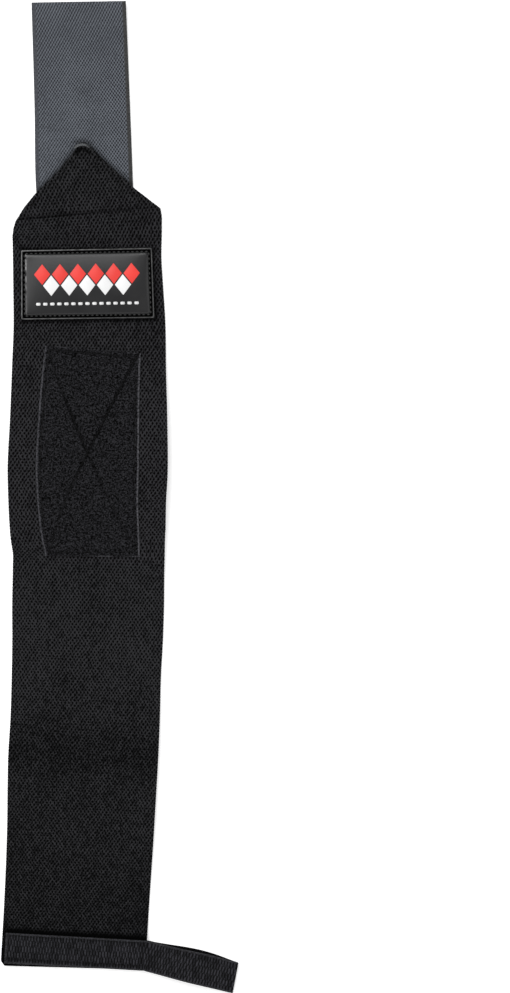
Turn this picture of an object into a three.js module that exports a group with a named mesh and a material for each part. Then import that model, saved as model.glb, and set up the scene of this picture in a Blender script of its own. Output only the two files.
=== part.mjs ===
// A training wrist wrap lying open on a table, face up: a wide elastic band whose end corners are
// folded into a point, a hook strap sewn under the point, a loop patch and a rubber label sewn on
// the face, and a narrow tape that binds the hem and runs on past it as a thumb loop.
// Millimetres, +X across the wrap, +Y from the hem to the strap's tip, +Z up from the table.
import * as THREE from "three";

// Elastic band
const BAND_WIDTH = 80;
const BAND_LENGTH = 395; // hem to the seam at the base of the point
const BAND_THICKNESS = 1.6;
const BAND_EDGE = 0.6; // width of the rounded selvage
const POINT_LENGTH = 39; // base of the point to its tip
const HEM_CORNER = 2.2; // radius of the two corners at the hem
const SEAM_DIP = 0.5; // how deep the seam at the base of the point pulls in
const SEAM_HALF = 2; // half the width of that valley

// Hook strap
const STRAP_WIDTH = 50;
const STRAP_LENGTH = 119;
const STRAP_TUCK = 6; // how far the strap runs on below the seam
const STRAP_WEB = 0.9; // the woven tape
const STRAP_HOOKS = 0.9; // the hooks under it
const STRAP_SELVAGE = 2.4; // plain edge with no hooks
const HOOK_EDGE = 0.3; // width of the sloping edge of the field of hooks

// Loop patch
const PATCH_WIDTH = 50;
const PATCH_LENGTH = 108;
const PATCH_THICKNESS = 2;
const PATCH_BORDER = 3; // from the edge to the full pile
const PATCH_SHIFT = 0.9; // its middle, to the right of the band's centre line
const PATCH_SWING = 1.05; // how much further right its ends lie
const PATCH_BELLY = 0.028; // how much wider it is at its middle, as a share
const PATCH_SKEW = 1.7; // how far its upper corners are off square

// Rubber label
const LABEL_WIDTH = 70;
const LABEL_HEIGHT = 37;
const LABEL_THICKNESS = 2;
const LABEL_BORDER = 4; // from the edge to the flat panel
const LABEL_BELOW_SEAM = 17.4;
const PATCH_BELOW_LABEL = 15.4;

// Hem tape and thumb loop
const TAPE_WIDTH = 16;
const TAPE_THICKNESS = 1.2;
const TAPE_INSET = 2; // the tape starts this far inside the band's left edge
const HEM_MARGIN = 0.4; // band left showing below the tape
const HEM_RUN = 14; // over this length the band comes down to the table
const LOOP_LENGTH = 48; // band's edge to the loop's end
const LOOP_OPENING = 8.2; // clear height inside the loop at its middle
const FOLD_OPENING = 1.6; // clear height inside the fold at its end
const LOOP_TURN = 11; // degrees that the loop turns away from the hem, in plan
const LOOP_BOW = 1; // how far the lower layer lies off the upper one, in plan
const LOOP_MITRE = 2; // half the length over which the tape turns
const LOOP_STEPS = 16;
const FOLD_STEPS = 8;

// How the wrap lies
const SEAT_GAP = 0.3; // between one piece and the next
const SIDE_FALL = 11; // beyond the strap's edges the point falls to the table over this width
const WAVE_HEIGHT = 7;
const ROW_STEP = 8;

const STRAP_THICKNESS = STRAP_WEB + STRAP_HOOKS;
const STRAP_START = BAND_LENGTH - STRAP_TUCK;
const WRAP_LENGTH = STRAP_START + STRAP_LENGTH;
const LABEL_START = BAND_LENGTH - LABEL_BELOW_SEAM - LABEL_HEIGHT;
const PATCH_START = LABEL_START - PATCH_BELOW_LABEL - PATCH_LENGTH;
const HEM_BOUND = HEM_MARGIN + TAPE_WIDTH + SEAT_GAP;

// The line that the wrap follows on the table. along: share of the wrap's length from the hem,
// sway: share of the band's width, spread: share of a piece's own width.
const SPINE = [
  { along: 0, sway: -0.07, spread: 0.954 },
  { along: 0.067, sway: -0.0462, spread: 0.955 },
  { along: 0.142, sway: -0.0208, spread: 0.968 },
  { along: 0.19, sway: -0.0097, spread: 0.982 },
  { along: 0.216, sway: -0.0033, spread: 0.988 },
  { along: 0.256, sway: 0.0096, spread: 0.984 },
  { along: 0.306, sway: 0.0179, spread: 0.984 },
  { along: 0.343, sway: 0.0258, spread: 0.994 },
  { along: 0.374, sway: 0.0286, spread: 1.001 },
  { along: 0.41, sway: 0.0319, spread: 0.999 },
  { along: 0.43, sway: 0.0343, spread: 1.001 },
  { along: 0.452, sway: 0.0285, spread: 1.024 },
  { along: 0.482, sway: 0.0249, spread: 1.038 },
  { along: 0.515, sway: 0.0277, spread: 1.054 },
  { along: 0.565, sway: 0.0338, spread: 1.037 },
  { along: 0.62, sway: 0.0354, spread: 1.015 },
  { along: 0.665, sway: 0.038, spread: 1.001 },
  { along: 0.7, sway: 0.0301, spread: 0.989 },
  { along: 0.735, sway: 0.0224, spread: 0.979 },
  { along: 0.764, sway: 0.0213, spread: 0.988 },
  { along: 0.79, sway: 0.0118, spread: 1.01 },
  { along: 0.814, sway: 0.004, spread: 1.022 },
  { along: 0.889, sway: -0.0089, spread: 1.006 },
  { along: 1, sway: -0.0324, spread: 0.993 },
];

// Waves of the cloth off the table, each with a flat crest. Places are shares of the wrap's length,
// height is a share of WAVE_HEIGHT.
const WAVES = [
  { start: 0.07, crest: 0.18, over: 0.215, end: 0.32, height: 0.35 },
  { start: 0.38, crest: 0.495, over: 0.535, end: 0.67, height: 1 },
  { start: 0.9, crest: 1.04, over: 1.05, end: 1.1, height: 0.4 },
];

// The pointed end. along: share of POINT_LENGTH from the seam, left and right: shares of half the band.
const POINT = [
  { along: -0.244, left: 1, right: 1 },
  { along: -0.082, left: 0.976, right: 1 },
  { along: 0.026, left: 0.935, right: 0.98 },
  { along: 0.18, left: 0.808, right: 0.816 },
  { along: 0.336, left: 0.65, right: 0.655 },
  { along: 0.513, left: 0.45, right: 0.5 },
  { along: 0.66, left: 0.3, right: 0.355 },
  { along: 0.877, left: 0.13, right: 0.155 },
  { along: 0.93, left: 0.09, right: 0.11 },
  { along: 0.97, left: 0.06, right: 0.07 },
  { along: 1, left: 0.025, right: 0.03 },
];

// Height across the edge of the patch: stitched selvage, then pile. within: share of PATCH_BORDER
// from the edge, height: share of PATCH_THICKNESS.
const PATCH_EDGE = [
  { within: 0, height: 0.35 },
  { within: 0.45, height: 0.4 },
  { within: 0.6, height: 0.85 },
  { within: 1, height: 1 },
];

// The same for the label: rounded rim, stitching groove, raised panel.
const LABEL_EDGE = [
  { within: 0, height: 0.6 },
  { within: 0.06, height: 0.9 },
  { within: 0.2, height: 0.9 },
  { within: 0.28, height: 0.45 },
  { within: 0.55, height: 0.45 },
  { within: 0.7, height: 0.9 },
  { within: 1, height: 1 },
];

function interpolant(Kind, table, key, columns) {
  const rows = table.map((row) => row[key]);
  const values = table.flatMap((row) => columns.map((column) => row[column]));
  return new Kind(rows, values, columns.length);
}

const spine = interpolant(THREE.CubicInterpolant, SPINE, "along", ["sway", "spread"]);
const point = interpolant(THREE.LinearInterpolant, POINT, "along", ["left", "right"]);

const { clamp, degToRad, lerp, smoothstep } = THREE.MathUtils;

function swayAt(along) {
  return spine.evaluate(along / WRAP_LENGTH)[0] * BAND_WIDTH;
}

function spreadAt(along) {
  return spine.evaluate(along / WRAP_LENGTH)[1];
}

// The direction across the wrap, square to its line.
function sideAt(along) {
  const reach = 0.5;
  const slope = (swayAt(along + reach) - swayAt(along - reach)) / (2 * reach);
  return new THREE.Vector2(1, -slope).normalize();
}

function waveAt(along) {
  const share = along / WRAP_LENGTH;
  return WAVES.reduce((height, wave) => {
    const up = smoothstep(share, wave.start, wave.crest);
    const down = smoothstep(share, wave.over, wave.end);
    return height + WAVE_HEIGHT * wave.height * (up - down);
  }, 0);
}

// Where a point of the flat pattern lies: across and along the wrap, and its height without the waves.
function lay(across, along, height) {
  const side = sideAt(along);
  const reach = across * spreadAt(along);
  return new THREE.Vector3(
    swayAt(along) + side.x * reach,
    along + side.y * reach,
    waveAt(along) + height,
  );
}

// A box divided into columns and rows, each of whose corners is then put in its place.
function bentBox(columns, rows, placeAt) {
  const box = new THREE.BoxGeometry(columns, rows, 1, columns, rows, 1);
  const corners = box.getAttribute("position");
  for (let corner = 0; corner < corners.count; corner++) {
    const column = Math.round(corners.getX(corner) + columns / 2);
    const row = Math.round(corners.getY(corner) + rows / 2);
    const onTop = corners.getZ(corner) > 0;
    corners.setXYZ(corner, ...placeAt(column, row, onTop));
  }
  box.computeVertexNormals();
  return box;
}

// A layer of the wrap between two surfaces, over rows and columns of the flat pattern.
function layer(rows, columnsAt, underside, topside) {
  return bentBox(columnsAt(rows[0]).length - 1, rows.length - 1, (column, row, onTop) => {
    const along = rows[row];
    const across = columnsAt(along)[column];
    const surface = onTop ? topside : underside;
    return lay(across, along, surface(across, along));
  });
}

// Rows from start to end that hold the key places, with the shared grid of rows between them.
function rowsBetween(start, end, keys = []) {
  const inside = keys.filter((key) => key > start && key < end);
  const fixed = [start, end, ...inside];
  const grid = [];
  for (let row = Math.ceil(start / ROW_STEP) * ROW_STEP; row < end; row += ROW_STEP) {
    if (fixed.every((key) => Math.abs(key - row) > ROW_STEP / 4)) grid.push(row);
  }
  return [...fixed, ...grid].sort((a, b) => a - b);
}

// Left and right edges of the band, as distances from its centre line.
function bandEdges(along) {
  const half = BAND_WIDTH / 2;
  const fromHem = Math.min(along, HEM_CORNER);
  const corner = HEM_CORNER - Math.sqrt(HEM_CORNER ** 2 - (HEM_CORNER - fromHem) ** 2);
  const share = clamp((along - BAND_LENGTH) / POINT_LENGTH, POINT[0].along, 1);
  const [left, right] = point.evaluate(share);
  return { left: -half * left + corner, right: half * right - corner };
}

function hemLift(along) {
  return (TAPE_THICKNESS + SEAT_GAP) * (1 - smoothstep(along, HEM_BOUND, HEM_BOUND + HEM_RUN));
}

// Between label and seam the band climbs onto the strap, and beyond the strap's edges it falls again.
function strapLift(across, along) {
  const climb = smoothstep(along, BAND_LENGTH - LABEL_BELOW_SEAM, STRAP_START - SEAT_GAP);
  const edge = STRAP_WIDTH / 2 + 2 * SEAT_GAP;
  const fall = 1 - smoothstep(Math.abs(across), edge, edge + SIDE_FALL);
  return (STRAP_THICKNESS + SEAT_GAP) * climb * fall;
}

// Above the seam the folded corners lie under the face and double the cloth.
function clothThickness(along) {
  const folded = smoothstep(along, BAND_LENGTH, BAND_LENGTH + 2 * SEAM_HALF);
  const dip = Math.max(0, 1 - Math.abs(along - BAND_LENGTH) / SEAM_HALF);
  return BAND_THICKNESS * (1 + folded) - SEAM_DIP * dip;
}

function bandUnderside(across, along) {
  return hemLift(along) + strapLift(across, along);
}

function bandTopside(across, along) {
  return bandUnderside(across, along) + clothThickness(along);
}

// Columns of one half of the band, from its centre line: over the strap, then beside it to the edge.
function halfColumns(edge) {
  const inner = edge - BAND_EDGE;
  const overStrap = Math.min(STRAP_WIDTH / 2 + 2 * SEAT_GAP, 0.9 * inner);
  const beside = [1 / 3, 2 / 3, 1].map((share) => lerp(overStrap, inner, share));
  return [0, overStrap / 2, overStrap, ...beside, edge];
}

function bandColumns(along) {
  const { left, right } = bandEdges(along);
  const leftward = halfColumns(-left).slice(1).map((reach) => -reach);
  return [...leftward.reverse(), ...halfColumns(right)];
}

// Both faces draw in towards each other along the selvage.
function selvagePinch(across, along) {
  const { left, right } = bandEdges(along);
  const onEdge = Math.min(across - left, right - across) < BAND_EDGE / 2;
  return onEdge ? clothThickness(along) / 4 : 0;
}

function makeBand() {
  const corner = [0.1, 0.4, 1].map((share) => share * HEM_CORNER);
  const hem = [0, 0.5, 1].map((share) => HEM_BOUND + share * HEM_RUN);
  const climb = [0, 0.25, 0.5, 0.75, 1].map((share) => -lerp(LABEL_BELOW_SEAM, STRAP_TUCK, share));
  const seam = [-1, 0, 1, 2].map((share) => share * SEAM_HALF);
  const tip = POINT.map((row) => row.along * POINT_LENGTH);
  const atSeam = [...climb, ...seam, ...tip].map((place) => BAND_LENGTH + place);
  const keys = [...corner, ...hem, ...atSeam];
  return layer(
    rowsBetween(0, BAND_LENGTH + POINT_LENGTH, keys),
    bandColumns,
    (across, along) => bandUnderside(across, along) + selvagePinch(across, along),
    (across, along) => bandTopside(across, along) - selvagePinch(across, along),
  );
}

function makeStrap() {
  const half = STRAP_WIDTH / 2;
  const hooked = half - STRAP_SELVAGE;
  const rightward = [hooked - HOOK_EDGE, hooked, half];
  const columns = [...rightward.map((reach) => -reach).reverse(), 0, ...rightward];
  return layer(
    rowsBetween(STRAP_START, WRAP_LENGTH),
    () => columns,
    (across) => (Math.abs(across) < hooked ? 0 : STRAP_HOOKS),
    () => STRAP_THICKNESS,
  );
}

// A patch sewn flat on the band's face, whose height follows the distance from its edge. settle says
// where a point of the cut piece, across from its middle and along, lies on the band.
function makePatch({ start, width, length, thickness, border, table, settle }) {
  const edgeShape = interpolant(THREE.LinearInterpolant, table, "within", ["height"]);
  const insets = table.map((row) => row.within * border);
  const half = width / 2;
  const end = start + length;
  const rightward = insets.map((inset) => half - inset).reverse();
  const columns = [...rightward.map((reach) => -reach).reverse(), 0, ...rightward];
  const rows = rowsBetween(start, end, insets.flatMap((inset) => [start + inset, end - inset]));
  return bentBox(columns.length - 1, rows.length - 1, (column, row, onTop) => {
    const inset = Math.min(half - Math.abs(columns[column]), rows[row] - start, end - rows[row]);
    const relief = thickness * edgeShape.evaluate(clamp(inset / border, 0, 1))[0];
    const [across, along] = settle(columns[column], rows[row]);
    const seat = bandTopside(across, along) + SEAT_GAP;
    return lay(across, along, seat + (onTop ? relief : 0));
  });
}

// The loop patch was sewn on a little askew, and the stretched band pulls it wide at its middle.
function settleLoopPatch(across, along) {
  const share = (along - PATCH_START) / PATCH_LENGTH;
  const ends = (2 * share - 1) ** 2;
  const skew = (PATCH_SKEW * across * share ** 2) / (PATCH_WIDTH / 2);
  const middle = PATCH_SHIFT + PATCH_SWING * ends;
  return [middle + across * (1 + PATCH_BELLY * (1 - ends)), along - skew];
}

const makeLoopPatch = () =>
  makePatch({
    start: PATCH_START,
    width: PATCH_WIDTH,
    length: PATCH_LENGTH,
    thickness: PATCH_THICKNESS,
    border: PATCH_BORDER,
    table: PATCH_EDGE,
    settle: settleLoopPatch,
  });

const makeLabel = () =>
  makePatch({
    start: LABEL_START,
    width: LABEL_WIDTH,
    length: LABEL_HEIGHT,
    thickness: LABEL_THICKNESS,
    border: LABEL_BORDER,
    table: LABEL_EDGE,
    settle: (across, along) => [across, along],
  });

// The tape's middle line seen from the hem's side. run: right of the band's edge, bow: off its line
// in plan. It goes out over the hem and the loop's upper layer, round the fold, and back beneath.
function tapeLine() {
  const half = TAPE_THICKNESS / 2;
  const overHem = TAPE_THICKNESS + BAND_THICKNESS + 2 * SEAT_GAP + half;
  const bend = FOLD_OPENING / 2 + half;
  const bendRun = LOOP_LENGTH - half - bend;
  const bendTop = half + 2 * bend;
  const crest = TAPE_THICKNESS + LOOP_OPENING + half;
  const hemStart = TAPE_INSET - BAND_WIDTH;
  const runs = Array.from({ length: LOOP_STEPS + 1 }, (_, step) => step / LOOP_STEPS);
  const upper = runs.map((share) => ({
    run: lerp(LOOP_MITRE, bendRun, share),
    height:
      lerp(overHem, bendTop, share) +
      (crest - (overHem + bendTop) / 2) * Math.sin(Math.PI * share) ** 2,
    bow: 0,
  }));
  const fold = Array.from({ length: FOLD_STEPS - 1 }, (_, step) => {
    const angle = Math.PI * (0.5 - (step + 1) / FOLD_STEPS);
    return {
      run: bendRun + bend * Math.cos(angle),
      height: half + bend + bend * Math.sin(angle),
      bow: 0,
    };
  });
  const lower = runs.map((share) => ({
    run: lerp(LOOP_MITRE, bendRun, share),
    height: half,
    bow: LOOP_BOW * Math.sin(Math.PI * share),
  }));
  return [
    { run: hemStart, height: overHem, bow: 0 },
    { run: -LOOP_MITRE, height: overHem, bow: 0 },
    ...upper,
    ...fold,
    ...lower.reverse(),
    { run: -LOOP_MITRE, height: half, bow: 0 },
    { run: hemStart, height: half, bow: 0 },
  ];
}

// A point of the tape: run to the right of the band's edge, offset up the wrap, and height.
function tapePlace(run, offset, height) {
  const middle = HEM_MARGIN + TAPE_WIDTH / 2;
  const edge = BAND_WIDTH / 2;
  if (run < 0) return lay(edge + run, middle + offset, height);
  const start = lay(edge, middle, height);
  const ahead = sideAt(middle).rotateAround(new THREE.Vector2(), degToRad(-LOOP_TURN));
  return new THREE.Vector3(
    start.x + ahead.x * run - ahead.y * offset,
    start.y + ahead.y * run + ahead.x * offset,
    height,
  );
}

function makeTape() {
  const line = tapeLine();
  const last = line.length - 1;
  return bentBox(last, 1, (step, edge, onTop) => {
    const before = line[Math.max(step - 1, 0)];
    const after = line[Math.min(step + 1, last)];
    const ahead = new THREE.Vector2(after.run - before.run, after.height - before.height).normalize();
    const reach = (onTop ? 1 : -1) * (TAPE_THICKNESS / 2);
    const { run, height, bow } = line[step];
    const offset = (edge - 0.5) * TAPE_WIDTH + bow;
    return tapePlace(run - ahead.y * reach, offset, height + ahead.x * reach);
  });
}

const BLACK_CLOTH = { color: 0x1e1e20, roughness: 0.95, metalness: 0 };
const GREY_WEBBING = { color: 0x52565e, roughness: 0.8, metalness: 0 };
const BLACK_PILE = { color: 0x1c1c1e, roughness: 1, metalness: 0 };
const BLACK_RUBBER = { color: 0x2c2c30, roughness: 0.35, metalness: 0 };
const BLACK_TAPE = { color: 0x232326, roughness: 0.9, metalness: 0 };

function piece(name, geometry, finish) {
  const mesh = new THREE.Mesh(geometry, new THREE.MeshStandardMaterial(finish));
  mesh.name = name;
  return mesh;
}

// The part's origin is the middle of its footprint, on the table.
function centred(group) {
  const box = new THREE.Box3().setFromObject(group);
  const middle = box.getCenter(new THREE.Vector3());
  group.position.set(-middle.x, -middle.y, -box.min.z);
  return new THREE.Group().add(group);
}

const wrap = new THREE.Group().add(
  piece("elastic_band", makeBand(), BLACK_CLOTH),
  piece("hook_strap", makeStrap(), GREY_WEBBING),
  piece("loop_patch", makeLoopPatch(), BLACK_PILE),
  piece("label", makeLabel(), BLACK_RUBBER),
  piece("loop_tape", makeTape(), BLACK_TAPE),
);

export default centred(wrap);
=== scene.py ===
# %% [markdown]
# A training wrist wrap lies open on a table: a wide black elastic band with a pointed end, a grey
# hook strap sewn under the point, a loop patch and a rubber label sewn on the face, and a narrow
# tape that binds the hem and goes on as a thumb loop. The solid model is loaded first, as a frame
# that stays as it is. Every piece made below lies where its solid lies.

# %% Load the frame
import math

import bpy
import numpy as np
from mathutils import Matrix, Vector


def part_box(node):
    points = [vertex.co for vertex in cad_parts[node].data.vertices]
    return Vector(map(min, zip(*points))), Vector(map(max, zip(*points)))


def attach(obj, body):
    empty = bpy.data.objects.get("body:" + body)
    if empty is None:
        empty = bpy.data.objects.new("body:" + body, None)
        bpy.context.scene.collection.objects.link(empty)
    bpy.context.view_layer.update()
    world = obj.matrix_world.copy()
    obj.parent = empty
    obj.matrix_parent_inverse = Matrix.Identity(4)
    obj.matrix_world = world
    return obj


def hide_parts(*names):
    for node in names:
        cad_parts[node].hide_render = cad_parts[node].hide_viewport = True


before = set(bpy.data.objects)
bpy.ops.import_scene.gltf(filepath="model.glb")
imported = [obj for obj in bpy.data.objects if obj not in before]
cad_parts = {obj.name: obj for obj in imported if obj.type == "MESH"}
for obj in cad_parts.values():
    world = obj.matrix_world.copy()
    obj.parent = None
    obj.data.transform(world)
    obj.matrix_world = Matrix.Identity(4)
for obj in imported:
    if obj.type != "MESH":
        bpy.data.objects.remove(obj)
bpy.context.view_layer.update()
mm = 0.001
print("solids:", ", ".join(sorted(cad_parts)))

# %% [markdown]
# The wrap is one long sheet, so each piece of it is first drawn flat, as it is cut: a place across
# the wrap, a place along it from the hem, and a height. One function then lays every corner on the
# table. A smooth line down the middle says how the wrap sways and how far it is stretched in width,
# and three low waves lift it. The same tables shape the solids, so the pieces fit them.

# %% The line that the wrap follows
BAND_WIDTH = 80 * mm
BAND_LENGTH = 395 * mm  # from the hem to the seam under the point
POINT_LENGTH = 39 * mm
STRAP_WIDTH = 50 * mm
STRAP_LENGTH = 119 * mm
STRAP_TUCK = 6 * mm  # how far the strap runs on below the seam
STRAP_START = BAND_LENGTH - STRAP_TUCK
WRAP_LENGTH = STRAP_START + STRAP_LENGTH
WAVE_HEIGHT = 7 * mm

# Columns: along, as a share of the wrap's length; sway, of the band's width; spread, of a width.
SPINE = np.array([
    (0, -0.07, 0.954),
    (0.067, -0.0462, 0.955),
    (0.142, -0.0208, 0.968),
    (0.19, -0.0097, 0.982),
    (0.216, -0.0033, 0.988),
    (0.256, 0.0096, 0.984),
    (0.306, 0.0179, 0.984),
    (0.343, 0.0258, 0.994),
    (0.374, 0.0286, 1.001),
    (0.41, 0.0319, 0.999),
    (0.43, 0.0343, 1.001),
    (0.452, 0.0285, 1.024),
    (0.482, 0.0249, 1.038),
    (0.515, 0.0277, 1.054),
    (0.565, 0.0338, 1.037),
    (0.62, 0.0354, 1.015),
    (0.665, 0.038, 1.001),
    (0.7, 0.0301, 0.989),
    (0.735, 0.0224, 0.979),
    (0.764, 0.0213, 0.988),
    (0.79, 0.0118, 1.01),
    (0.814, 0.004, 1.022),
    (0.889, -0.0089, 1.006),
    (1, -0.0324, 0.993),
])

# Columns: start, crest, over and end of a wave as shares of the length; height, of WAVE_HEIGHT.
WAVES = [
    (0.07, 0.18, 0.215, 0.32, 0.35),
    (0.38, 0.495, 0.535, 0.67, 1),
    (0.9, 1.04, 1.05, 1.1, 0.4),
]


def ease(value, start, end):
    """0 before start, 1 after end, and a smooth way between."""
    share = np.clip((value - start) / (end - start), 0, 1)
    return share * share * (3 - 2 * share)


def fade(value, start, end):
    """1 before start, 0 after end, and a smooth way between."""
    return 1 - ease(value, start, end)


def through(table, place):
    """The other columns of a table at some places of its first one, on a smooth curve."""
    places, values = table[:, 0], table[:, 1:]
    chords = np.diff(values, axis=0) / np.diff(places)[:, None]
    slopes = np.vstack([chords[:1], (chords[1:] + chords[:-1]) / 2, chords[-1:]])
    place = np.clip(place, places[0], places[-1])
    row = np.clip(np.searchsorted(places, place, side="right") - 1, 0, len(places) - 2)
    length = (places[row + 1] - places[row])[..., None]
    t = (place - places[row])[..., None] / length
    start, end = values[row], values[row + 1]
    return (
        start * (1 + 2 * t) * (1 - t) ** 2
        + end * t * t * (3 - 2 * t)
        + slopes[row] * length * t * (1 - t) ** 2
        - slopes[row + 1] * length * t * t * (1 - t)
    )


def sway_at(along):
    return through(SPINE, along / WRAP_LENGTH)[..., 0] * BAND_WIDTH


def side_at(along):
    """The direction across the wrap, square to its line."""
    reach = 0.5 * mm
    slope = (sway_at(along + reach) - sway_at(along - reach)) / (2 * reach)
    return np.stack([np.ones_like(slope), -slope], axis=-1) / np.hypot(1, slope)[..., None]


def wave_at(along):
    share = along / WRAP_LENGTH
    height = np.zeros_like(share)
    for start, crest, over, end, part in WAVES:
        height += WAVE_HEIGHT * part * (ease(share, start, crest) - ease(share, over, end))
    return height


def lay_flat(across, along, height):
    """Where points of the flat pattern lie, before the whole wrap is set on its place."""
    along = np.asarray(along, dtype=float)
    side = side_at(along)
    reach = across * through(SPINE, along / WRAP_LENGTH)[..., 1]
    return np.stack([
        sway_at(along) + side[..., 0] * reach,
        along + side[..., 1] * reach,
        wave_at(along) + height,
    ], axis=-1)


# The strap's far end is square, so its corners show where the solid model puts the pattern.
strap_rim = np.linspace(STRAP_START, WRAP_LENGTH, 60)
rim = np.vstack([lay_flat(half * STRAP_WIDTH, strap_rim, 0 * mm) for half in (-0.5, 0.5)])
low, high = (np.array(corner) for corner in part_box("hook_strap"))
SHIFT = np.array([low[0] - rim[:, 0].min(), high[1] - rim[:, 1].max(), 0])
print("the pattern is shifted by", np.round(SHIFT / mm, 3), "mm")


def lay(across, along, height):
    """Where points of the flat pattern lie on the table."""
    return lay_flat(across, along, height) + SHIFT


# %% [markdown]
# Cloth starts as a grid primitive, one face for each cell of the pattern, and Solidify gives it a second
# side and a rim, so it is closed. Its corners still stand in columns and rows. A function for the piece
# then says where each column and row lies, on top and underneath. The flat place is kept as a UV map in
# millimetres, which lets a weave follow the cloth wherever it bends. A painted shade is kept too: how deep
# a corner lies in a seam or a line of sewing, where the materials darken the black cloth as shade would.

# %% Cloth from a grid
MERGE_REACH = 0.002 * mm  # corners nearer than this are made one


def select_only(*objects):
    bpy.ops.object.select_all(action="DESELECT")
    for each in objects:
        each.select_set(True)
    bpy.context.view_layer.objects.active = objects[0]


def apply_modifier(piece, kind, **settings):
    """Adds a modifier with these settings and applies it."""
    select_only(piece)
    modifier = piece.modifiers.new(kind.title(), kind)
    for setting, value in settings.items():
        setattr(modifier, setting, value)
    bpy.ops.object.modifier_apply(modifier=modifier.name)


def corners_of(piece):
    corners = np.empty(len(piece.data.vertices) * 3, dtype=np.float32)
    piece.data.vertices.foreach_get("co", corners)
    return corners.reshape(-1, 3).astype(float)


def put_corners(piece, corners):
    piece.data.vertices.foreach_set("co", corners.astype(np.float32).ravel())
    piece.data.update()


def draw_pattern(piece, across, along):
    """Keeps the flat place of each corner, in millimetres, as the UV map that weaves read."""
    loops = np.empty(len(piece.data.loops), dtype=np.int32)
    piece.data.loops.foreach_get("vertex_index", loops)
    flat = np.stack([across[loops], along[loops]], axis=-1) / mm
    layer = piece.data.uv_layers.new(name="pattern")
    layer.uv.foreach_set("vector", flat.astype(np.float32).ravel())


def keep_shade(piece, shade):
    """Keeps how deep each corner lies in sewing, 0 to 1, as a painted shade that materials read."""
    layer = piece.data.attributes.new("shade", "FLOAT", "POINT")
    layer.data.foreach_set("value", np.clip(shade, 0, 1).astype(np.float32))


def report(piece):
    box = np.array(piece.bound_box)
    low, high = box.min(axis=0), box.max(axis=0)
    faces = sum(len(face.vertices) - 2 for face in piece.data.polygons)
    print(f"{piece.name}: {faces} triangles, {np.round(low / mm, 1)} to {np.round(high / mm, 1)} mm")


def edit_mode():
    """Opens the active piece for editing, with all of it selected."""
    bpy.ops.object.mode_set(mode="EDIT")
    bpy.ops.mesh.select_all(action="SELECT")


def object_mode():
    bpy.ops.object.mode_set(mode="OBJECT")


def cloth(name, columns, rows, place, reverse=False):
    """A closed cloth. place(column, row, on_top) gives corners, their flat across and along, and
    their shade. With reverse, the faces underneath take the second material."""
    bpy.ops.object.select_all(action="DESELECT")
    bpy.ops.mesh.primitive_grid_add(x_subdivisions=columns, y_subdivisions=rows, size=2)
    piece = bpy.context.object
    piece.name = piece.data.name = name
    apply_modifier(piece, "SOLIDIFY", thickness=1, offset=-1)
    corners = corners_of(piece)
    column = np.rint((corners[:, 0] + 1) / 2 * columns).astype(int)
    row = np.rint((corners[:, 1] + 1) / 2 * rows).astype(int)
    on_top = corners[:, 2] > -0.5
    laid, across, along, shade = place(column, row, on_top)
    put_corners(piece, laid)
    for layer in list(piece.data.uv_layers):
        piece.data.uv_layers.remove(layer)
    draw_pattern(piece, across, along)
    keep_shade(piece, shade)
    if reverse:
        for face in piece.data.polygons:
            face.material_index = int(not on_top[list(face.vertices)].any())
    select_only(piece)
    edit_mode()
    bpy.ops.mesh.remove_doubles(threshold=MERGE_REACH)
    object_mode()
    bpy.ops.object.shade_smooth()
    report(piece)
    return piece


def rounding(inside):
    """How far a round edge falls: 1 on the edge itself, and 0 from where inside is 1."""
    return 1 - np.sqrt(1 - (1 - inside) ** 2)


def steps(start, end, size):
    """Even places from start to end, about size apart."""
    return np.linspace(start, end, max(2, round((end - start) / size) + 1))


# %% [markdown]
# The band is one length of wide elastic. Its pointed end is the same cloth with its two corners
# folded under. A true fold would need cloth simulation, and only its outline and its double
# thickness show, so a table gives the left and right edge of the point, and nothing is folded.

# %% The band's sizes and outline
BAND_THICKNESS = 1.6 * mm
HEM_CORNER = 2.2 * mm  # radius of its two corners at the hem
SEAT_GAP = 0.3 * mm  # between one piece and the next
TAPE_WIDTH = 16 * mm
TAPE_THICKNESS = 1.2 * mm
HEM_MARGIN = 0.4 * mm  # from the hem's edge to the tape's
HEM_BOUND = HEM_MARGIN + TAPE_WIDTH + SEAT_GAP
HEM_RUN = 14 * mm  # over which the band comes down from the tape
STRAP_THICKNESS = 1.8 * mm
SIDE_FALL = 11 * mm  # over which it comes down beside the strap
LABEL_HEIGHT = 37 * mm
LABEL_BELOW_SEAM = 17.4 * mm
PIT_ACROSS = 1.96 * mm  # from one pit of the weave to the next
PIT_ALONG = (1.29 * mm, 1.67 * mm)  # from one staggered row to the next, at the hem and at the tip
WEAVE_DEPTH = 0.3 * mm
WEAVE_MEAN = 0.7  # height of the weave's middle, as a share of its depth
FALLING = 0.8  # strength of the ridges that fall to the right, as a share of the rising ones

# Columns: along as a share of POINT_LENGTH from the seam; left and right edge, of half the band.
POINT = np.array([
    (-0.244, 1, 1),
    (-0.082, 0.976, 1),
    (0.026, 0.935, 0.98),
    (0.18, 0.808, 0.816),
    (0.336, 0.65, 0.655),
    (0.513, 0.45, 0.5),
    (0.66, 0.3, 0.355),
    (0.877, 0.13, 0.155),
    (0.93, 0.09, 0.11),
    (0.97, 0.06, 0.07),
    (1, 0.025, 0.03),
])


def band_edges(along):
    half = BAND_WIDTH / 2
    from_hem = np.clip(along, 0, HEM_CORNER)
    corner = HEM_CORNER - np.sqrt(HEM_CORNER ** 2 - (HEM_CORNER - from_hem) ** 2)
    share = (along - BAND_LENGTH) / POINT_LENGTH
    left = np.interp(share, POINT[:, 0], POINT[:, 1])
    right = np.interp(share, POINT[:, 0], POINT[:, 2])
    return corner - half * left, half * right - corner


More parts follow.
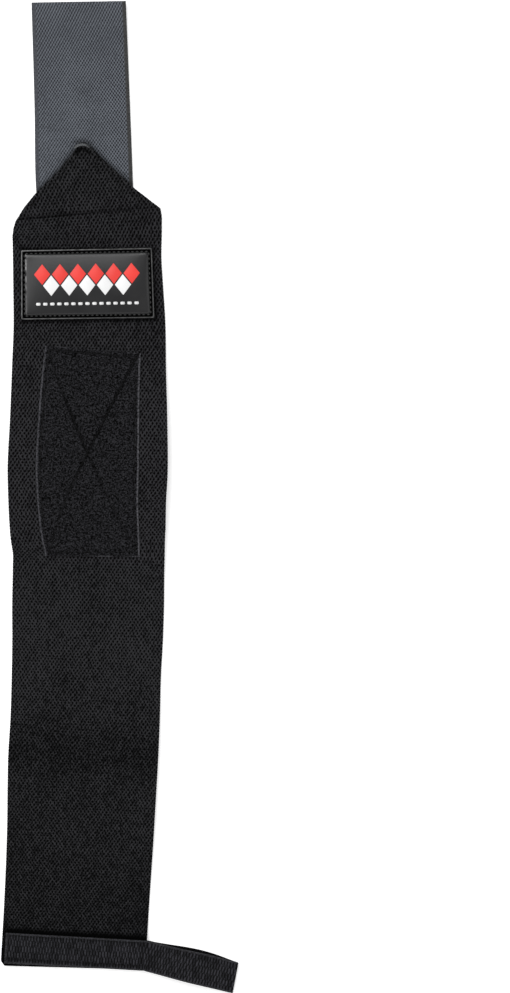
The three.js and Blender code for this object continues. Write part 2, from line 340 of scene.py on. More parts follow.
print("the band is", round(BAND_WIDTH / mm), "mm wide and",
      round((BAND_LENGTH + POINT_LENGTH) / mm), "mm long to its tip")

# %% [markdown]
# The band rides on the tape at the hem, and on the strap at the point, where its own folded
# corners double it. Between them it lies on the line of the wrap. Each rise above that line is
# one smooth step, along the band or across it.

# %% How high the band lies
def folded(along):
    """0 on the single cloth, 1 where the folded corners double it."""
    return ease(along, BAND_LENGTH, BAND_LENGTH + 4 * mm)


def band_underside(across, along):
    hem = (TAPE_THICKNESS + SEAT_GAP) * fade(along, HEM_BOUND, HEM_BOUND + HEM_RUN)
    climb = ease(along, BAND_LENGTH - LABEL_BELOW_SEAM, STRAP_START - SEAT_GAP)
    beside = STRAP_WIDTH / 2 + 2 * SEAT_GAP
    fall = fade(np.abs(across), beside, beside + SIDE_FALL)
    return hem + (STRAP_THICKNESS + SEAT_GAP) * climb * fall


def band_topside(across, along):
    return band_underside(across, along) + BAND_THICKNESS * (1 + folded(along))


print("over the strap the band rises",
      round(float(band_underside(0, BAND_LENGTH)) / mm, 2), "mm")

# %% [markdown]
# On the elastic's face, dark pits stand in staggered rows, and bright slanting threads run between
# them. Two crossed waves make just that: their product has its pits in staggered rows, and when one
# of them is the stronger, the ridges slant its way. The function is used twice, for the height of
# the mesh and, as nodes, for colour and fine bump. The rows lie closer at the hem, so a place
# along the band is first turned into a count of rows.

# %% The weave as a height
def rows_to(along):
    """How many staggered rows of pits lie between the hem and a place along the band."""
    growth = (PIT_ALONG[1] - PIT_ALONG[0]) / (BAND_LENGTH + POINT_LENGTH)
    return np.log(1 + growth * along / PIT_ALONG[0]) / growth


def along_at(rows):
    """The place along the band where that many rows of pits are done."""
    growth = (PIT_ALONG[1] - PIT_ALONG[0]) / (BAND_LENGTH + POINT_LENGTH)
    return (np.exp(growth * rows) - 1) * PIT_ALONG[0] / growth


def weave(across, along):
    """Height of the band's weave, 0 in a pit and 1 on a ridge."""
    rising = np.cos(2 * math.pi * (across / PIT_ACROSS - rows_to(along) / 2))
    falling = np.cos(2 * math.pi * (across / PIT_ACROSS + rows_to(along) / 2))
    return 1 - (1 + rising) / 2 * (1 + FALLING * falling) / (1 + FALLING)


print("rows of pits on the band:", round(float(rows_to(BAND_LENGTH + POINT_LENGTH))))

# %% [markdown]
# A seam crosses the base of the point, a little askew. Thread pulls cloth down, and the cloth
# beside it swells, so the seam is a step down with a soft lip, and each row of stitches a valley.

# %% The seam and the stitched rows as a height
SEAM_PLACE = 1.3 * mm  # how far above the base of the point the seam crosses the middle
SEAM_TILT = 0.022  # how far it rises to the right, per distance across
SEAM_DEPTH = 0.8 * mm
LIP_HEIGHT = 0.3 * mm  # of the swollen cloth below the seam
ROW_INSET = 2.6 * mm  # from the folded edge to the row of stitches
ROW_DEPTH = 0.4 * mm
ROW_REACH = 1.1 * mm


def valley(distance, reach):
    """1 on a line of sewing and 0 a reach away from it."""
    return fade(np.abs(distance), 0 * mm, reach)


def from_fold(across, along):
    """Distance from the folded edges of the point, and large below the seam."""
    left, right = band_edges(along)
    inside = np.minimum(across - left, right - across) * math.cos(math.pi / 4)
    return np.where(along > BAND_LENGTH + 2 * mm, inside, 1)


def past_seam(across, along):
    return along - BAND_LENGTH - SEAM_PLACE - SEAM_TILT * across


def sewing(across, along):
    """How the seam and the stitched rows change the height of the band's face."""
    past = past_seam(across, along)
    step = SEAM_DEPTH * ease(past, -0.3 * mm, 0.1 * mm) * fade(past, 0.3 * mm, 3 * mm)
    lip = LIP_HEIGHT * valley(past + 0.9 * mm, 0.9 * mm)
    row = ROW_DEPTH * valley(from_fold(across, along) - ROW_INSET, ROW_REACH)
    return lip - step - row


print("the seam rises", round(SEAM_TILT * BAND_WIDTH / mm, 1), "mm from left to right")

# %% [markdown]
# Black cloth goes blacker in a seam, beside a row of stitches and under the edge of a label. The
# real hollows are too narrow for the renderer to darken them as much as the eye sees it, so each
# corner of the mesh also gets a shade, from 0 in the open to 1 in the depth of a seam.

# %% How dark the sewing is
LABEL_WIDTH = 70 * mm
TIP_CENTRE = (-0.5 * mm, BAND_LENGTH + 32.5 * mm)  # of the round end of the point
# the grey bar round the tip is partly a painted highlight on the crest of the fold
TIP_RADIUS = 5.6 * mm  # of the bar of thread that holds it


def from_box(x, y, half_x, half_y):
    """Distance outside a box about the origin, and 0 inside it."""
    return np.hypot(np.clip(np.abs(x) - half_x, 0, None), np.clip(np.abs(y) - half_y, 0, None))


def from_tip(across, along):
    return np.hypot(across - TIP_CENTRE[0], along - TIP_CENTRE[1])


def band_shade(across, along):
    """A painted shade: how much of the light the seams, the stitched rows, the folded edges and the pieces
    sewn on keep off the band.
    """
    past = past_seam(across, along)
    seam = 0.75 * ease(past, -0.25 * mm, 0.05 * mm) * fade(past, 0.1 * mm, 1.4 * mm)
    seam = seam * (1 - 0.35 * ease(across, -15 * mm, 15 * mm))
    row = 0.4 * valley(from_fold(across, along) - ROW_INSET, ROW_REACH)
    edge = 0.35 * valley(from_fold(across, along), 1 * mm)
    beside_tape = 0.3 * fade(across + BAND_WIDTH / 2, 1.6 * mm, 2.4 * mm)
    hem = fade(along - HEM_MARGIN - TAPE_WIDTH, 1.2 * mm, 4.4 * mm) * (1 - beside_tape)
    middle = BAND_LENGTH - LABEL_BELOW_SEAM - LABEL_HEIGHT / 2
    label = from_box(across, along - middle, LABEL_WIDTH / 2, LABEL_HEIGHT / 2)
    under_label = 0.8 * fade(label, 0.3 * mm, 2.2 * mm)
    in_tip = np.where(along > TIP_CENTRE[1], valley(from_tip(across, along) - 3.2 * mm, 2 * mm), 0)
    return np.max([seam, row, edge, hem, under_label, in_tip], axis=0)


print("shade in the middle of the seam:",
      round(float(band_shade(0, BAND_LENGTH + SEAM_PLACE + 0.1 * mm)), 2))

# %% [markdown]
# The grid's columns stand on the weave, half a pit apart, with a few closer ones to round the
# selvage, and its rows lie half a row of pits apart, with extra ones at the seam. In the point the
# columns run straight on and end at the fold, as cut threads do.

# %% The band
BAND_EDGE = np.array([0, 0.12, 0.35, 0.8]) * mm  # how far inside the selvage its columns lie
WOVEN_EDGE = (0.3 * mm, 1.5 * mm)  # where the weave begins, and where it is full
SCALLOP = 0.2 * mm  # how far the weft's turns stand out of the selvage
pits = math.ceil(BAND_WIDTH / PIT_ACROSS)
band_columns = np.arange(-pits, pits + 1) * PIT_ACROSS / 2
band_columns = band_columns[np.abs(band_columns) < BAND_WIDTH / 2 - BAND_EDGE[-1]]
band_cells = len(band_columns) + 2 * len(BAND_EDGE) - 1
seam_rows = BAND_LENGTH + SEAM_PLACE + np.array([-0.45, -0.2, 0.05, 0.35]) * mm
weave_rows = along_at(steps(0, rows_to(BAND_LENGTH + POINT_LENGTH), 0.5))
band_rows = np.sort(np.hstack([weave_rows, seam_rows]))


def place_band(column, row, on_top):
    along = band_rows[row]
    left, right = band_edges(along)
    left_columns = left[:, None] + BAND_EDGE
    right_columns = right[:, None] - BAND_EDGE[::-1]
    innermost = left_columns[:, -1:]
    inner = np.clip(band_columns, innermost, np.maximum(right_columns[:, :1], innermost))
    grid = np.hstack([left_columns, inner, right_columns])
    across = grid[np.arange(len(grid)), column]
    # the selvage is scalloped where the weft turns back, and a fold a little less
    scallop = SCALLOP * (row % 2) * (1 - 0.35 * folded(along))
    reach = np.minimum(across - left, right - across)
    outermost = reach < BAND_EDGE[1] / 2
    across = across - np.sign(across) * np.where(outermost, scallop, 0)
    # the rows near the seam slant with it
    from_seam = np.abs(along - BAND_LENGTH - SEAM_PLACE)
    along = along + SEAM_TILT * across * fade(from_seam, 4 * mm, 14 * mm)
    thick = BAND_THICKNESS * (1 + folded(along))
    radius = thick * 0.45
    inside = np.clip(reach * np.where(folded(along) > 0.5, 0.72, 1) / radius, 0, 1)
    round_off = rounding(inside) * 0.42 * thick
    depth = ease(reach, *WOVEN_EDGE) * WEAVE_DEPTH
    woven = depth * (weave(across, along) - WEAVE_MEAN)
    top = band_topside(across, along) - round_off + woven + sewing(across, along)
    woven_below = depth * (1 - weave(-across, along)) * 0.6
    bottom = band_underside(across, along) + round_off + woven_below
    laid = lay(across, along, np.where(on_top, top, bottom))
    shade = np.where(on_top, band_shade(across, along), 0)
    # the band's pattern is kept in threads, since its rows lie closer at the hem
    return laid, across / PIT_ACROSS * mm, rows_to(along) * mm, shade


band = cloth("wrap_band", band_cells, len(band_rows) - 1, place_band)

# %% [markdown]
# The strap is grey webbing in a fine twill, whose ribs rise to the right. It has a plain selvage
# on each side and a cut, heat sealed end. It is made the same way as the band, with its own weave.

# %% The ribs of the strap as a height
RIB_ACROSS = 1.55 * mm
RIB_ALONG = (2.98 * mm, 2.36 * mm)  # from rib to rib at the strap's end, and where they lie closer
RIB_CLOSING = 40 * mm  # how far from the end that is
RIB_DEPTH = 0.16 * mm
STRAP_WEB = 0.9 * mm
STRAP_HOOKS = 0.9 * mm
STRAP_SELVAGE = 2.4 * mm


def ribs_to(along):
    """How many ribs lie between a place along the strap and its end."""
    from_end = WRAP_LENGTH - along
    loose, close = (1 / pitch for pitch in RIB_ALONG)
    closing = np.minimum(from_end, RIB_CLOSING)
    growing = (close - loose) * closing ** 2 / (2 * RIB_CLOSING)
    return loose * closing + growing + close * (from_end - closing)


def twill(across, along):
    """Height of the strap's ribs, 0 to 1."""
    rib = np.cos(2 * math.pi * (across / RIB_ACROSS + ribs_to(along)))
    return 0.5 + 0.5 * rib


print("ribs along the strap:", round(float(ribs_to(STRAP_START))))

# %% [markdown]
# The strap's grid is fine enough for four faces to each rib. The web is thin, and its round edge,
# the groove beside the selvage and the ribs are all heights of the one grid. Where the point lies
# over the strap, the strap is in its shade.

# %% The strap
strap_edge = np.array([0, 0.1, 0.3, 0.9, 1.8, 2.3, 2.5]) * mm
strap_inner = steps(-STRAP_WIDTH / 2 + 2.9 * mm, STRAP_WIDTH / 2 - 2.9 * mm, RIB_ACROSS / 4)
strap_columns = np.hstack([strap_edge - STRAP_WIDTH / 2, strap_inner, STRAP_WIDTH / 2 - strap_edge[::-1]])
strap_rows = np.hstack([
    STRAP_START,
    steps(STRAP_START + 0.15 * mm, WRAP_LENGTH - 0.15 * mm, RIB_ALONG[1] / 4),
    WRAP_LENGTH,
])


def place_strap(column, row, on_top):
    across, along = strap_columns[column], strap_rows[row]
    reach = STRAP_WIDTH / 2 - np.abs(across)
    end = np.minimum(along - STRAP_START, WRAP_LENGTH - along)
    inside = np.clip(np.minimum(reach, end + 0.1 * mm) / (0.4 * mm), 0, 1)
    round_off = rounding(inside) * 0.4 * STRAP_WEB
    field = ease(reach, STRAP_SELVAGE - 0.3 * mm, STRAP_SELVAGE + 0.3 * mm)
    groove = 0.14 * mm * valley(reach - STRAP_SELVAGE, 0.4 * mm)
    ribs = RIB_DEPTH * field * (twill(across, along) - 0.6) - groove
    top = STRAP_THICKNESS - round_off + ribs
    bottom = STRAP_HOOKS + round_off
    left, right = band_edges(along)
    beside = np.maximum(left - across, across - right) * math.cos(math.pi / 4)
    tip = np.hypot(across - TIP_CENTRE[0], np.clip(along - TIP_CENTRE[1], 0, None))
    tip = tip - TIP_RADIUS - 1.6 * mm
    near = np.where(along > BAND_LENGTH + POINT_LENGTH, tip, beside)
    shade = np.where(on_top, 0.65 * fade(near, 0 * mm, 2.6 * mm), 0)
    return lay(across, along, np.where(on_top, top, bottom)), across, ribs_to(along) * mm, shade


strap = cloth("strap_web", len(strap_columns) - 1, len(strap_rows) - 1, place_strap)

# %% [markdown]
# Small things that repeat by the hundred, such as hooks, pile loops and stitches, are modelled
# once, with a few dozen faces, and then copied into one joined mesh. The copies are placed in the
# flat pattern too, and each corner of each copy is laid like the cloth, so they follow its bends.

# %% Many copies of a small thing
def copies(name, model, places, turns, lay_out, scales=None):
    """A joined mesh of the model at flat places (across, along), turned, and laid by lay_out."""
    corners = corners_of(model)
    faces = [tuple(face.vertices) for face in model.data.polygons]
    scales = np.ones(len(places)) if scales is None else scales
    cos, sin = np.cos(turns)[:, None], np.sin(turns)[:, None]
    x, y, z = (corners[:, axis] * scales[:, None] for axis in range(3))
    across = places[:, :1] + x * cos - y * sin
    along = places[:, 1:2] + x * sin + y * cos
    laid = lay_out(across.ravel(), along.ravel(), z.ravel())
    count = len(corners)
    all_faces = [
        tuple(corner + copy * count for corner in face) for copy in range(len(places)) for face in faces
    ]
    mesh = bpy.data.meshes.new(name)
    mesh.from_pydata(laid.tolist(), [], all_faces)
    piece = bpy.data.objects.new(name, mesh)
    bpy.context.collection.objects.link(piece)
    bpy.data.objects.remove(model)
    select_only(piece)
    bpy.ops.object.shade_smooth()
    report(piece)
    return piece


def jitter(places, reach, seed):
    """The places, each moved a little at random."""
    random = np.random.default_rng(seed)
    return places + random.uniform(-reach, reach, places.shape)


# %% [markdown]
# The underside of the strap carries hooks: stiff threads cut open on one side. One hook is a
# square wire, extruded down for its stem and spun on round for its crook.

# %% The hooks
HOOK_WIRE = 0.11 * mm
HOOK_STEM = 0.5 * mm
HOOK_BEND = 0.26 * mm
HOOK_STEPS = 5
HOOK_TURN = math.radians(205)
HOOK_PITCH = (1.7 * mm, 1.5 * mm)


def hook_model():
    bpy.ops.object.select_all(action="DESELECT")
    bpy.ops.mesh.primitive_circle_add(vertices=4, radius=HOOK_WIRE, fill_type="NGON")
    edit_mode()
    bpy.ops.mesh.extrude_region_move(TRANSFORM_OT_translate={"value": (0, 0, -HOOK_STEM)})
    bpy.ops.mesh.spin(
        steps=HOOK_STEPS, angle=HOOK_TURN, center=(HOOK_BEND, 0, -HOOK_STEM), axis=(0, 1, 0)
    )
    bpy.ops.mesh.select_all(action="SELECT")
    bpy.ops.mesh.normals_make_consistent(inside=False)
    object_mode()
    model = bpy.context.object
    lowest = corners_of(model)[:, 2].min()
    print("a hook reaches", round(-lowest / mm, 3), "mm below the web")
    return model


def lay_hooks(across, along, depth):
    return lay(across, along, STRAP_HOOKS + 0.05 * mm + depth)


hook_columns = steps(-STRAP_WIDTH / 2 + 3.2 * mm, STRAP_WIDTH / 2 - 3.2 * mm, HOOK_PITCH[0])
hook_rows = steps(STRAP_START + 1.2 * mm, WRAP_LENGTH - 1.2 * mm, HOOK_PITCH[1])
hook_grid = np.stack(np.meshgrid(hook_columns, hook_rows), axis=-1).reshape(-1, 2)
hook_turns = np.where(np.rint(hook_grid[:, 0] / HOOK_PITCH[0]) % 2 == 0, math.pi / 2, -math.pi / 2)
hooks = copies("strap_hooks", hook_model(), jitter(hook_grid, 0.12 * mm, 3), hook_turns, lay_hooks)

# %% [markdown]
# The patch is the soft half of the fastening: a woven tape whose face is a mat of tiny loops. It is sewn
# on along a box near its edge and along the two diagonals of the box, and the thread pulls the pile down
# into lines, which a painted shade darkens. The base is a cloth as before, lumpy on top. The loops that
# stand out of it are a second piece, a half ring of thread copied thousands of times.

# %% Where the patch lies
PATCH_WIDTH = 50 * mm
PATCH_LENGTH = 108 * mm
PATCH_SHIFT = -0.2 * mm  # how far right of the band's middle line its own middle lies
PATCH_SWING = 2.15 * mm  # how much further right its ends lie
PATCH_BELLY = 0.028  # how much wider it is at its middle
PATCH_SKEW = 1.7 * mm  # how far its upper corners are off square
PATCH_SAG = 0.9 * mm  # how far it was stretched towards the hem
PATCH_BELOW_LABEL = 15.4 * mm
PATCH_TAPE = 0.8 * mm
PATCH_PILE = 1.05 * mm
PATCH_SELVAGE = 1 * mm
PATCH_BOX = 2.2 * mm  # from the edge to the stitched box
PATCH_CELL = 0.62 * mm  # size of one face of its grid
LABEL_START = BAND_LENGTH - LABEL_BELOW_SEAM - LABEL_HEIGHT
PATCH_START = LABEL_START - PATCH_BELOW_LABEL - PATCH_LENGTH


def patch_place(across, along):
    """Where a point of the square patch lies on the band: it was sewn on a little askew."""
    share = (along - PATCH_START) / PATCH_LENGTH
    ends = (2 * share - 1) ** 2
    middle = PATCH_SHIFT + PATCH_SWING * ends
    skew = PATCH_SKEW * across / (PATCH_WIDTH / 2) * share ** 2
    sag = PATCH_SAG * (1 - share)
    return middle + across * (1 + PATCH_BELLY * (1 - ends)), along - skew - sag


def lay_patch(across, along, up):
    across, along = patch_place(across, along)
    return lay(across, along, band_topside(across, along) + SEAT_GAP / 3 + up)


def patch_reach(across, along):
    """Distance inside the patch's edge, at the sides and at the ends."""
    side = PATCH_WIDTH / 2 - np.abs(across)
    end = PATCH_LENGTH / 2 - np.abs(along - PATCH_START - PATCH_LENGTH / 2)
    return side, end


print("the patch starts", round(PATCH_START / mm, 1), "mm from the hem")

# %% [markdown]
# The stitches run along a box and its diagonals. Three distances say how near a place is to them,
# and serve the height of the pile, its shade and the places where no loop stands.

# %% The sewing of the patch
def from_box_line(across, along):
    """Distance from the stitched box of the patch."""
    side, end = patch_reach(across, along)
    return np.abs(np.minimum(side, end) - PATCH_BOX)


def from_cross(across, along):
    """Distance from the two stitched diagonals of the patch."""
    half_width, half_length = PATCH_WIDTH / 2 - PATCH_BOX, PATCH_LENGTH / 2 - PATCH_BOX
    x = np.abs(across)
    y = np.abs(along - PATCH_START - PATCH_LENGTH / 2)
    return np.abs(x * half_length - y * half_width) / math.hypot(half_width, half_length)


def from_sewing(across, along):
    return np.minimum(from_box_line(across, along), from_cross(across, along))


print("5 mm right of the patch's middle, the nearest stitch is",
      round(float(from_sewing(5 * mm, PATCH_START + PATCH_LENGTH / 2)) / mm, 1), "mm away")

# %% [markdown]
# Pile is never even. A sum of a few waves in random directions gives soft lumps, and it is exact
# at any place, so the mat and the loops on it can both ask for the same height.

# %% The height of the pile
def lumps(across, along, size, seed):
    """Soft random lumps from -1 to 1, about size across."""
    random = np.random.default_rng(seed)
    total = np.zeros(np.broadcast(across, along).shape)
    waves = 14
    for wave in range(waves):
        angle = random.uniform(0, 2 * math.pi)
        pitch = size * random.uniform(0.7, 1.6)
        phase = random.uniform(0, 2 * math.pi)
        total += np.sin(2 * math.pi * (across * math.cos(angle) + along * math.sin(angle)) / pitch + phase)
    return total / math.sqrt(2 * waves)


def pile_height(across, along):
    """Height of the pile above the tape: none on the selvage, low on a line of sewing."""
    side, end = patch_reach(across, along)
    field = ease(side, PATCH_SELVAGE, PATCH_SELVAGE + 0.6 * mm) * ease(end, 0.4 * mm, 1 * mm)
    sewn = 1 - 0.5 * fade(from_sewing(across, along), 0.2 * mm, 0.9 * mm)
    return PATCH_PILE * field * sewn * (1 + 0.12 * lumps(across, along, 9 * mm, 5))


print("the pile stands", round(PATCH_PILE / mm, 2), "mm above its tape")

# %% [markdown]
# The base is a cloth like the band. Its top follows the pile's height, with a finer fuzz of its
# own. The sewing looks darkest in the upper half and at the ends of the box, so its shade is
# stronger there, and the falling diagonal fades towards its ends.

# %% The patch
patch_edge = np.array([0, 0.15, 0.5, 0.95]) * mm
patch_half = PATCH_WIDTH / 2
patch_columns = np.hstack([
    patch_edge - patch_half,
    steps(1.3 * mm - patch_half, patch_half - 1.3 * mm, PATCH_CELL),
    patch_half - patch_edge[::-1],
])
patch_inner = steps(0.15 * mm, PATCH_LENGTH - 0.15 * mm, PATCH_CELL)
patch_rows = PATCH_START + np.hstack([0, patch_inner, PATCH_LENGTH])


def place_patch(column, row, on_top):
    across, along = patch_columns[column], patch_rows[row]
    side, end = patch_reach(across, along)
    edge = np.clip(np.minimum(side, end + 0.1 * mm) / (0.35 * mm), 0, 1)
    round_off = rounding(edge) * 0.42 * PATCH_TAPE
    pile_here = pile_height(across, along)
    fuzz = 0.2 * mm * lumps(across, along, 1.7 * mm, 8) * np.minimum(pile_here / PATCH_PILE, 1)
    top = PATCH_TAPE - round_off + 0.7 * pile_here + fuzz
    share = (along - PATCH_START) / PATCH_LENGTH
    pulled = 0.4 + 0.6 * ease(share, 0.35, 0.6)
    dotted = np.clip(0.9 + 0.4 * lumps(across, along, 2.6 * mm, 17), 0, 1)
    # the falling diagonal sinks in less and less towards its ends
    falling = np.where(across * (share - 0.5) < 0, ease(np.abs(across), 6 * mm, 15 * mm), 0)
    crosswise = pulled * dotted * fade(from_cross(across, along), 0.3 * mm, 1.1 * mm)
    crosswise = crosswise * (1 - 0.6 * falling)
    boxed = np.where(end < side, 0.75 * pulled * dotted, 0.2)
    boxed = boxed * fade(from_box_line(across, along), 0.2 * mm, 0.7 * mm)
    shade = 0.9 * np.maximum(crosswise, boxed)
    return lay_patch(across, along, np.where(on_top, top, round_off)), across, along, shade


patch = cloth("patch_base", len(patch_columns) - 1, len(patch_rows) - 1, place_patch)

# %% [markdown]
# Each loop of the pile is half a ring: a torus cut through by a plane, its cut ends closed. Loops
# are sown at random over the patch, but for the lines of sewing, which hold the pile down.

# %% The loops of the pile
LOOP_RADIUS = 0.42 * mm
LOOP_THREAD = 0.075 * mm
LOOP_COUNT = 5200


def loop_model():
    """Half a ring of thread, standing on its feet."""
    bpy.ops.object.select_all(action="DESELECT")
    bpy.ops.mesh.primitive_torus_add(
        major_segments=10,
        minor_segments=3,
        major_radius=LOOP_RADIUS,
        minor_radius=LOOP_THREAD,
        rotation=(math.pi / 2, 0, 0),
    )
    bpy.ops.object.transform_apply(location=True, rotation=True, scale=True)
    edit_mode()
    bpy.ops.mesh.bisect(
        plane_co=(0, 0, -0.1 * mm),
        plane_no=(0, 0, 1),
        clear_inner=True,
        use_fill=True,
        threshold=0.001 * mm,
    )
    object_mode()
    return bpy.context.object


def lay_loops(across, along, up):
    base = PATCH_TAPE + 0.72 * pile_height(across, along) - 0.08 * mm
    return lay_patch(across, along, base + up)


random = np.random.default_rng(11)
spots = np.stack([
    random.uniform(-1, 1, LOOP_COUNT) * (patch_half - PATCH_SELVAGE - 0.5 * mm),
    PATCH_START + random.uniform(0.01, 0.99, LOOP_COUNT) * PATCH_LENGTH,
], axis=-1)
height_share = (spots[:, 1] - PATCH_START) / PATCH_LENGTH
rising_arm = (spots[:, 0] > 0) & (height_share > 0.5)
sewn_reach = (0.35 + np.where(rising_arm, 0.85, 0.6) * ease(height_share, 0.35, 0.6)) * mm
spots = spots[from_sewing(spots[:, 0], spots[:, 1]) > sewn_reach]
pile = copies(
    "patch_pile",
    loop_model(),
    spots,
    random.uniform(0, 2 * math.pi, len(spots)),
    lay_loops,
    random.uniform(0.6, 1.25, len(spots)),
)

# %% [markdown]
# The label is moulded rubber: a thin flange with a rounded rim, a groove for the stitches and a
# raised, slightly swollen panel. A box with inset faces would do, but its round corners are
# smaller than the insets and the faces would cross there. So it is a grid too: its columns and
# rows stand at the places of the profile, and the nest of square rings that they form is rounded
# at the corners. A table gives the profile from the rim inwards.

# %% The label's profile
LABEL_CORNER = 0.9 * mm
LABEL_SIDE = 1.05  # the rim and groove are this much narrower at the sides than at top and bottom
PANEL_DOME = 1.1 * mm  # how far its panel swells in the middle
LABEL_MIDDLE = LABEL_START + LABEL_HEIGHT / 2
GROOVE_FLOOR = 0.65 * mm
PANEL_TOP = 1.85 * mm

# Columns: distance inside the edge, and height, in millimetres.
LABEL_PROFILE = np.array([
    (0, 0.7),
    (0.08, 1.1),
    (0.2, 1.38),
    (0.38, 1.5),
    (0.6, 1.46),
    (0.78, 1.25),
    (0.9, 0.85),
    (1.05, 0.65),
    (1.95, 0.65),
    (2.1, 0.9),
    (2.25, 1.4),
    (2.5, 1.66),
    (3, 1.8),
    (3.8, 1.85),
]) * mm

# The sewn label keeps straight edges: its corners on the table, lower row first, left ones first.
LABEL_CORNERS = np.array([
    [(-51.8, 93.2), (18.3, 94.1)],
    [(-51.9, 129.8), (17, 131.1)],
]) * mm
print("the label is", round(LABEL_PROFILE[:, 1].max() / mm, 2), "mm thick at its panel")

# %% [markdown]
# Each square ring of the grid is rounded by sliding its corner points along the ring. The panel
# swells a little towards its middle, so light and dark pass softly over the rubber. The label is
# stiffer than the band, so it keeps straight edges, and is laid between its own four corners.

# %% Round corners and a swollen panel
def rounded(x, y, half_x, half_y, inset):
    """Moves points of a nest of square rings along their ring, so that its corners are round."""
    a = half_x - inset / LABEL_SIDE
    b = half_y - inset
    radius = np.minimum(LABEL_CORNER, b)
    past_x, past_y = np.abs(x) - (a - radius), np.abs(y) - (b - radius)
    in_corner = (past_x > 0) & (past_y > 0)
    share = np.where(past_x >= past_y, past_y, 2 * radius - past_x) / (2 * radius)
    angle = np.clip(share, 0, 1) * math.pi / 2
    round_x = np.sign(x) * (a - radius + radius * np.cos(angle))
    round_y = np.sign(y) * (b - radius + radius * np.sin(angle))
    return np.where(in_corner, round_x, x), np.where(in_corner, round_y, y)


def label_inset(x, y):
    side = (LABEL_WIDTH / 2 - np.abs(x)) * LABEL_SIDE
    return np.minimum(side, LABEL_HEIGHT / 2 - np.abs(y))


def panel_dome(x, y):
    """The panel's gentle swell, from the label's middle."""
    share_x = np.clip(1 - (x / (LABEL_WIDTH / 2 - 2 * mm)) ** 6, 0, 1)
    share_y = np.clip(1 - (y / (LABEL_HEIGHT / 2 - 2.5 * mm)) ** 2, 0, 1)
    return PANEL_DOME * share_x * share_y


def lay_label(x, y, up):
    """x and y from the label's middle, and up from the cloth it is sewn on."""
    along = LABEL_MIDDLE + y
    laid = lay(x, along, band_topside(x, along) + SEAT_GAP / 3 + up)
    share_x, share_y = (x / LABEL_WIDTH + 0.5)[:, None], (y / LABEL_HEIGHT + 0.5)[:, None]
    low, high = (left + (right - left) * share_x for left, right in LABEL_CORNERS)
    laid[:, :2] = low + (high - low) * share_y
    return laid


print("the panel swells by", round(float(panel_dome(0, 0)) / mm, 2), "mm")

# %% [markdown]
# The grid's outer columns and rows stand at the places of the profile, and even ones fill the
# panel. The groove gets a shade of 1, because hardly any light reaches its floor.

# %% The label
def both_ways(edge, inner):
    """Places from the left edge to the right one: close ones near the edges, even ones between."""
    return np.hstack([-edge, steps(-inner, inner, 1.1 * mm), edge[::-1]])


label_insets = LABEL_PROFILE[:, 0]
label_columns = both_ways(LABEL_WIDTH / 2 - label_insets / LABEL_SIDE, LABEL_WIDTH / 2 - 4.4 * mm)
label_rows = both_ways(LABEL_HEIGHT / 2 - label_insets, LABEL_HEIGHT / 2 - 4.6 * mm)


def place_label(column, row, on_top):
    x, y = label_columns[column], label_rows[row]
    inset = label_inset(x, y)
    height = np.interp(inset, LABEL_PROFILE[:, 0], LABEL_PROFILE[:, 1])
    height = height + panel_dome(x, y) * ease(inset, 2.2 * mm, 3 * mm)
    x, y = rounded(x, y, LABEL_WIDTH / 2, LABEL_HEIGHT / 2, inset)
    underside = 0.25 * mm * fade(inset, 0 * mm, 0.3 * mm)
    shade = ease(inset, 0.75 * mm, 0.92 * mm) * fade(inset, 2 * mm, 2.25 * mm)
    return lay_label(x, y, np.where(on_top, height, underside)), x, y, shade


label = cloth("label_plate", len(label_columns) - 1, len(label_rows) - 1, place_label)

# %% [markdown]
# The panel carries a plain harlequin of moulded lozenges, an old pattern with no maker: a row in
# red, a row in white set between them, and a row of short white bars below. A lozenge is a
# four-sided cylinder, stretched, with its top edge bevelled. Each is copied along its row.

# %% The lozenges on the label
LOZENGE = (8.7 * mm, 11 * mm)
LOZENGE_RISE = 0.28 * mm
LOZENGE_PITCH = 9.5 * mm
MOULD_HEIGHT = LOZENGE_RISE + 0.1 * mm  # with a foot that stands in the panel
BAR = (2.3 * mm, 1.5 * mm)
BAR_PITCH = 3.7 * mm


def block(name, size, corner, segments):
    """A box on the ground with round upright edges."""
    bpy.ops.object.select_all(action="DESELECT")
    bpy.ops.mesh.primitive_cube_add(size=1, location=(0, 0, size[2] / 2), scale=size)
    piece = bpy.context.object
    piece.name = piece.data.name = name
    bpy.ops.object.transform_apply(location=True, rotation=True, scale=True)
    edit_mode()
    bpy.ops.mesh.select_mode(type="EDGE")
    bpy.ops.mesh.select_all(action="DESELECT")
    object_mode()
    corners = piece.data.vertices
    for edge in piece.data.edges:
        one, other = (corners[end].co for end in edge.vertices)
        edge.select = abs(one.z - other.z) > size[2] / 2
    bpy.ops.object.mode_set(mode="EDIT")
    bpy.ops.mesh.bevel(offset=corner, segments=segments, affect="EDGES")
    object_mode()
    return piece


def lozenge_model(width, height):
    bpy.ops.object.select_all(action="DESELECT")
    bpy.ops.mesh.primitive_cylinder_add(vertices=4, radius=0.5, depth=1)
    model = bpy.context.object
    edit_mode()
    bpy.ops.transform.resize(value=(width, height, MOULD_HEIGHT))
    bpy.ops.mesh.bevel(offset=0.12 * mm, segments=2, affect="EDGES")
    bpy.ops.mesh.subdivide(number_cuts=1)
    object_mode()
    return model


def bar_model(width, height):
    model = block("bar", (width, height, MOULD_HEIGHT), height * 0.3, 2)
    corners = corners_of(model)
    corners[:, 2] -= corners[:, 2].mean()
    put_corners(model, corners)
    return model


def lay_on_panel(x, y, up):
    return lay_label(x, y, PANEL_TOP + panel_dome(x, y) + LOZENGE_RISE / 2 + up)


def mould_row(name, model, count, pitch, y):
    """A row of count models on the panel, evenly about the label's middle."""
    places = np.array([((index - (count - 1) / 2) * pitch, y) for index in range(count)])
    return copies(name, model, places, np.zeros(count), lay_on_panel)


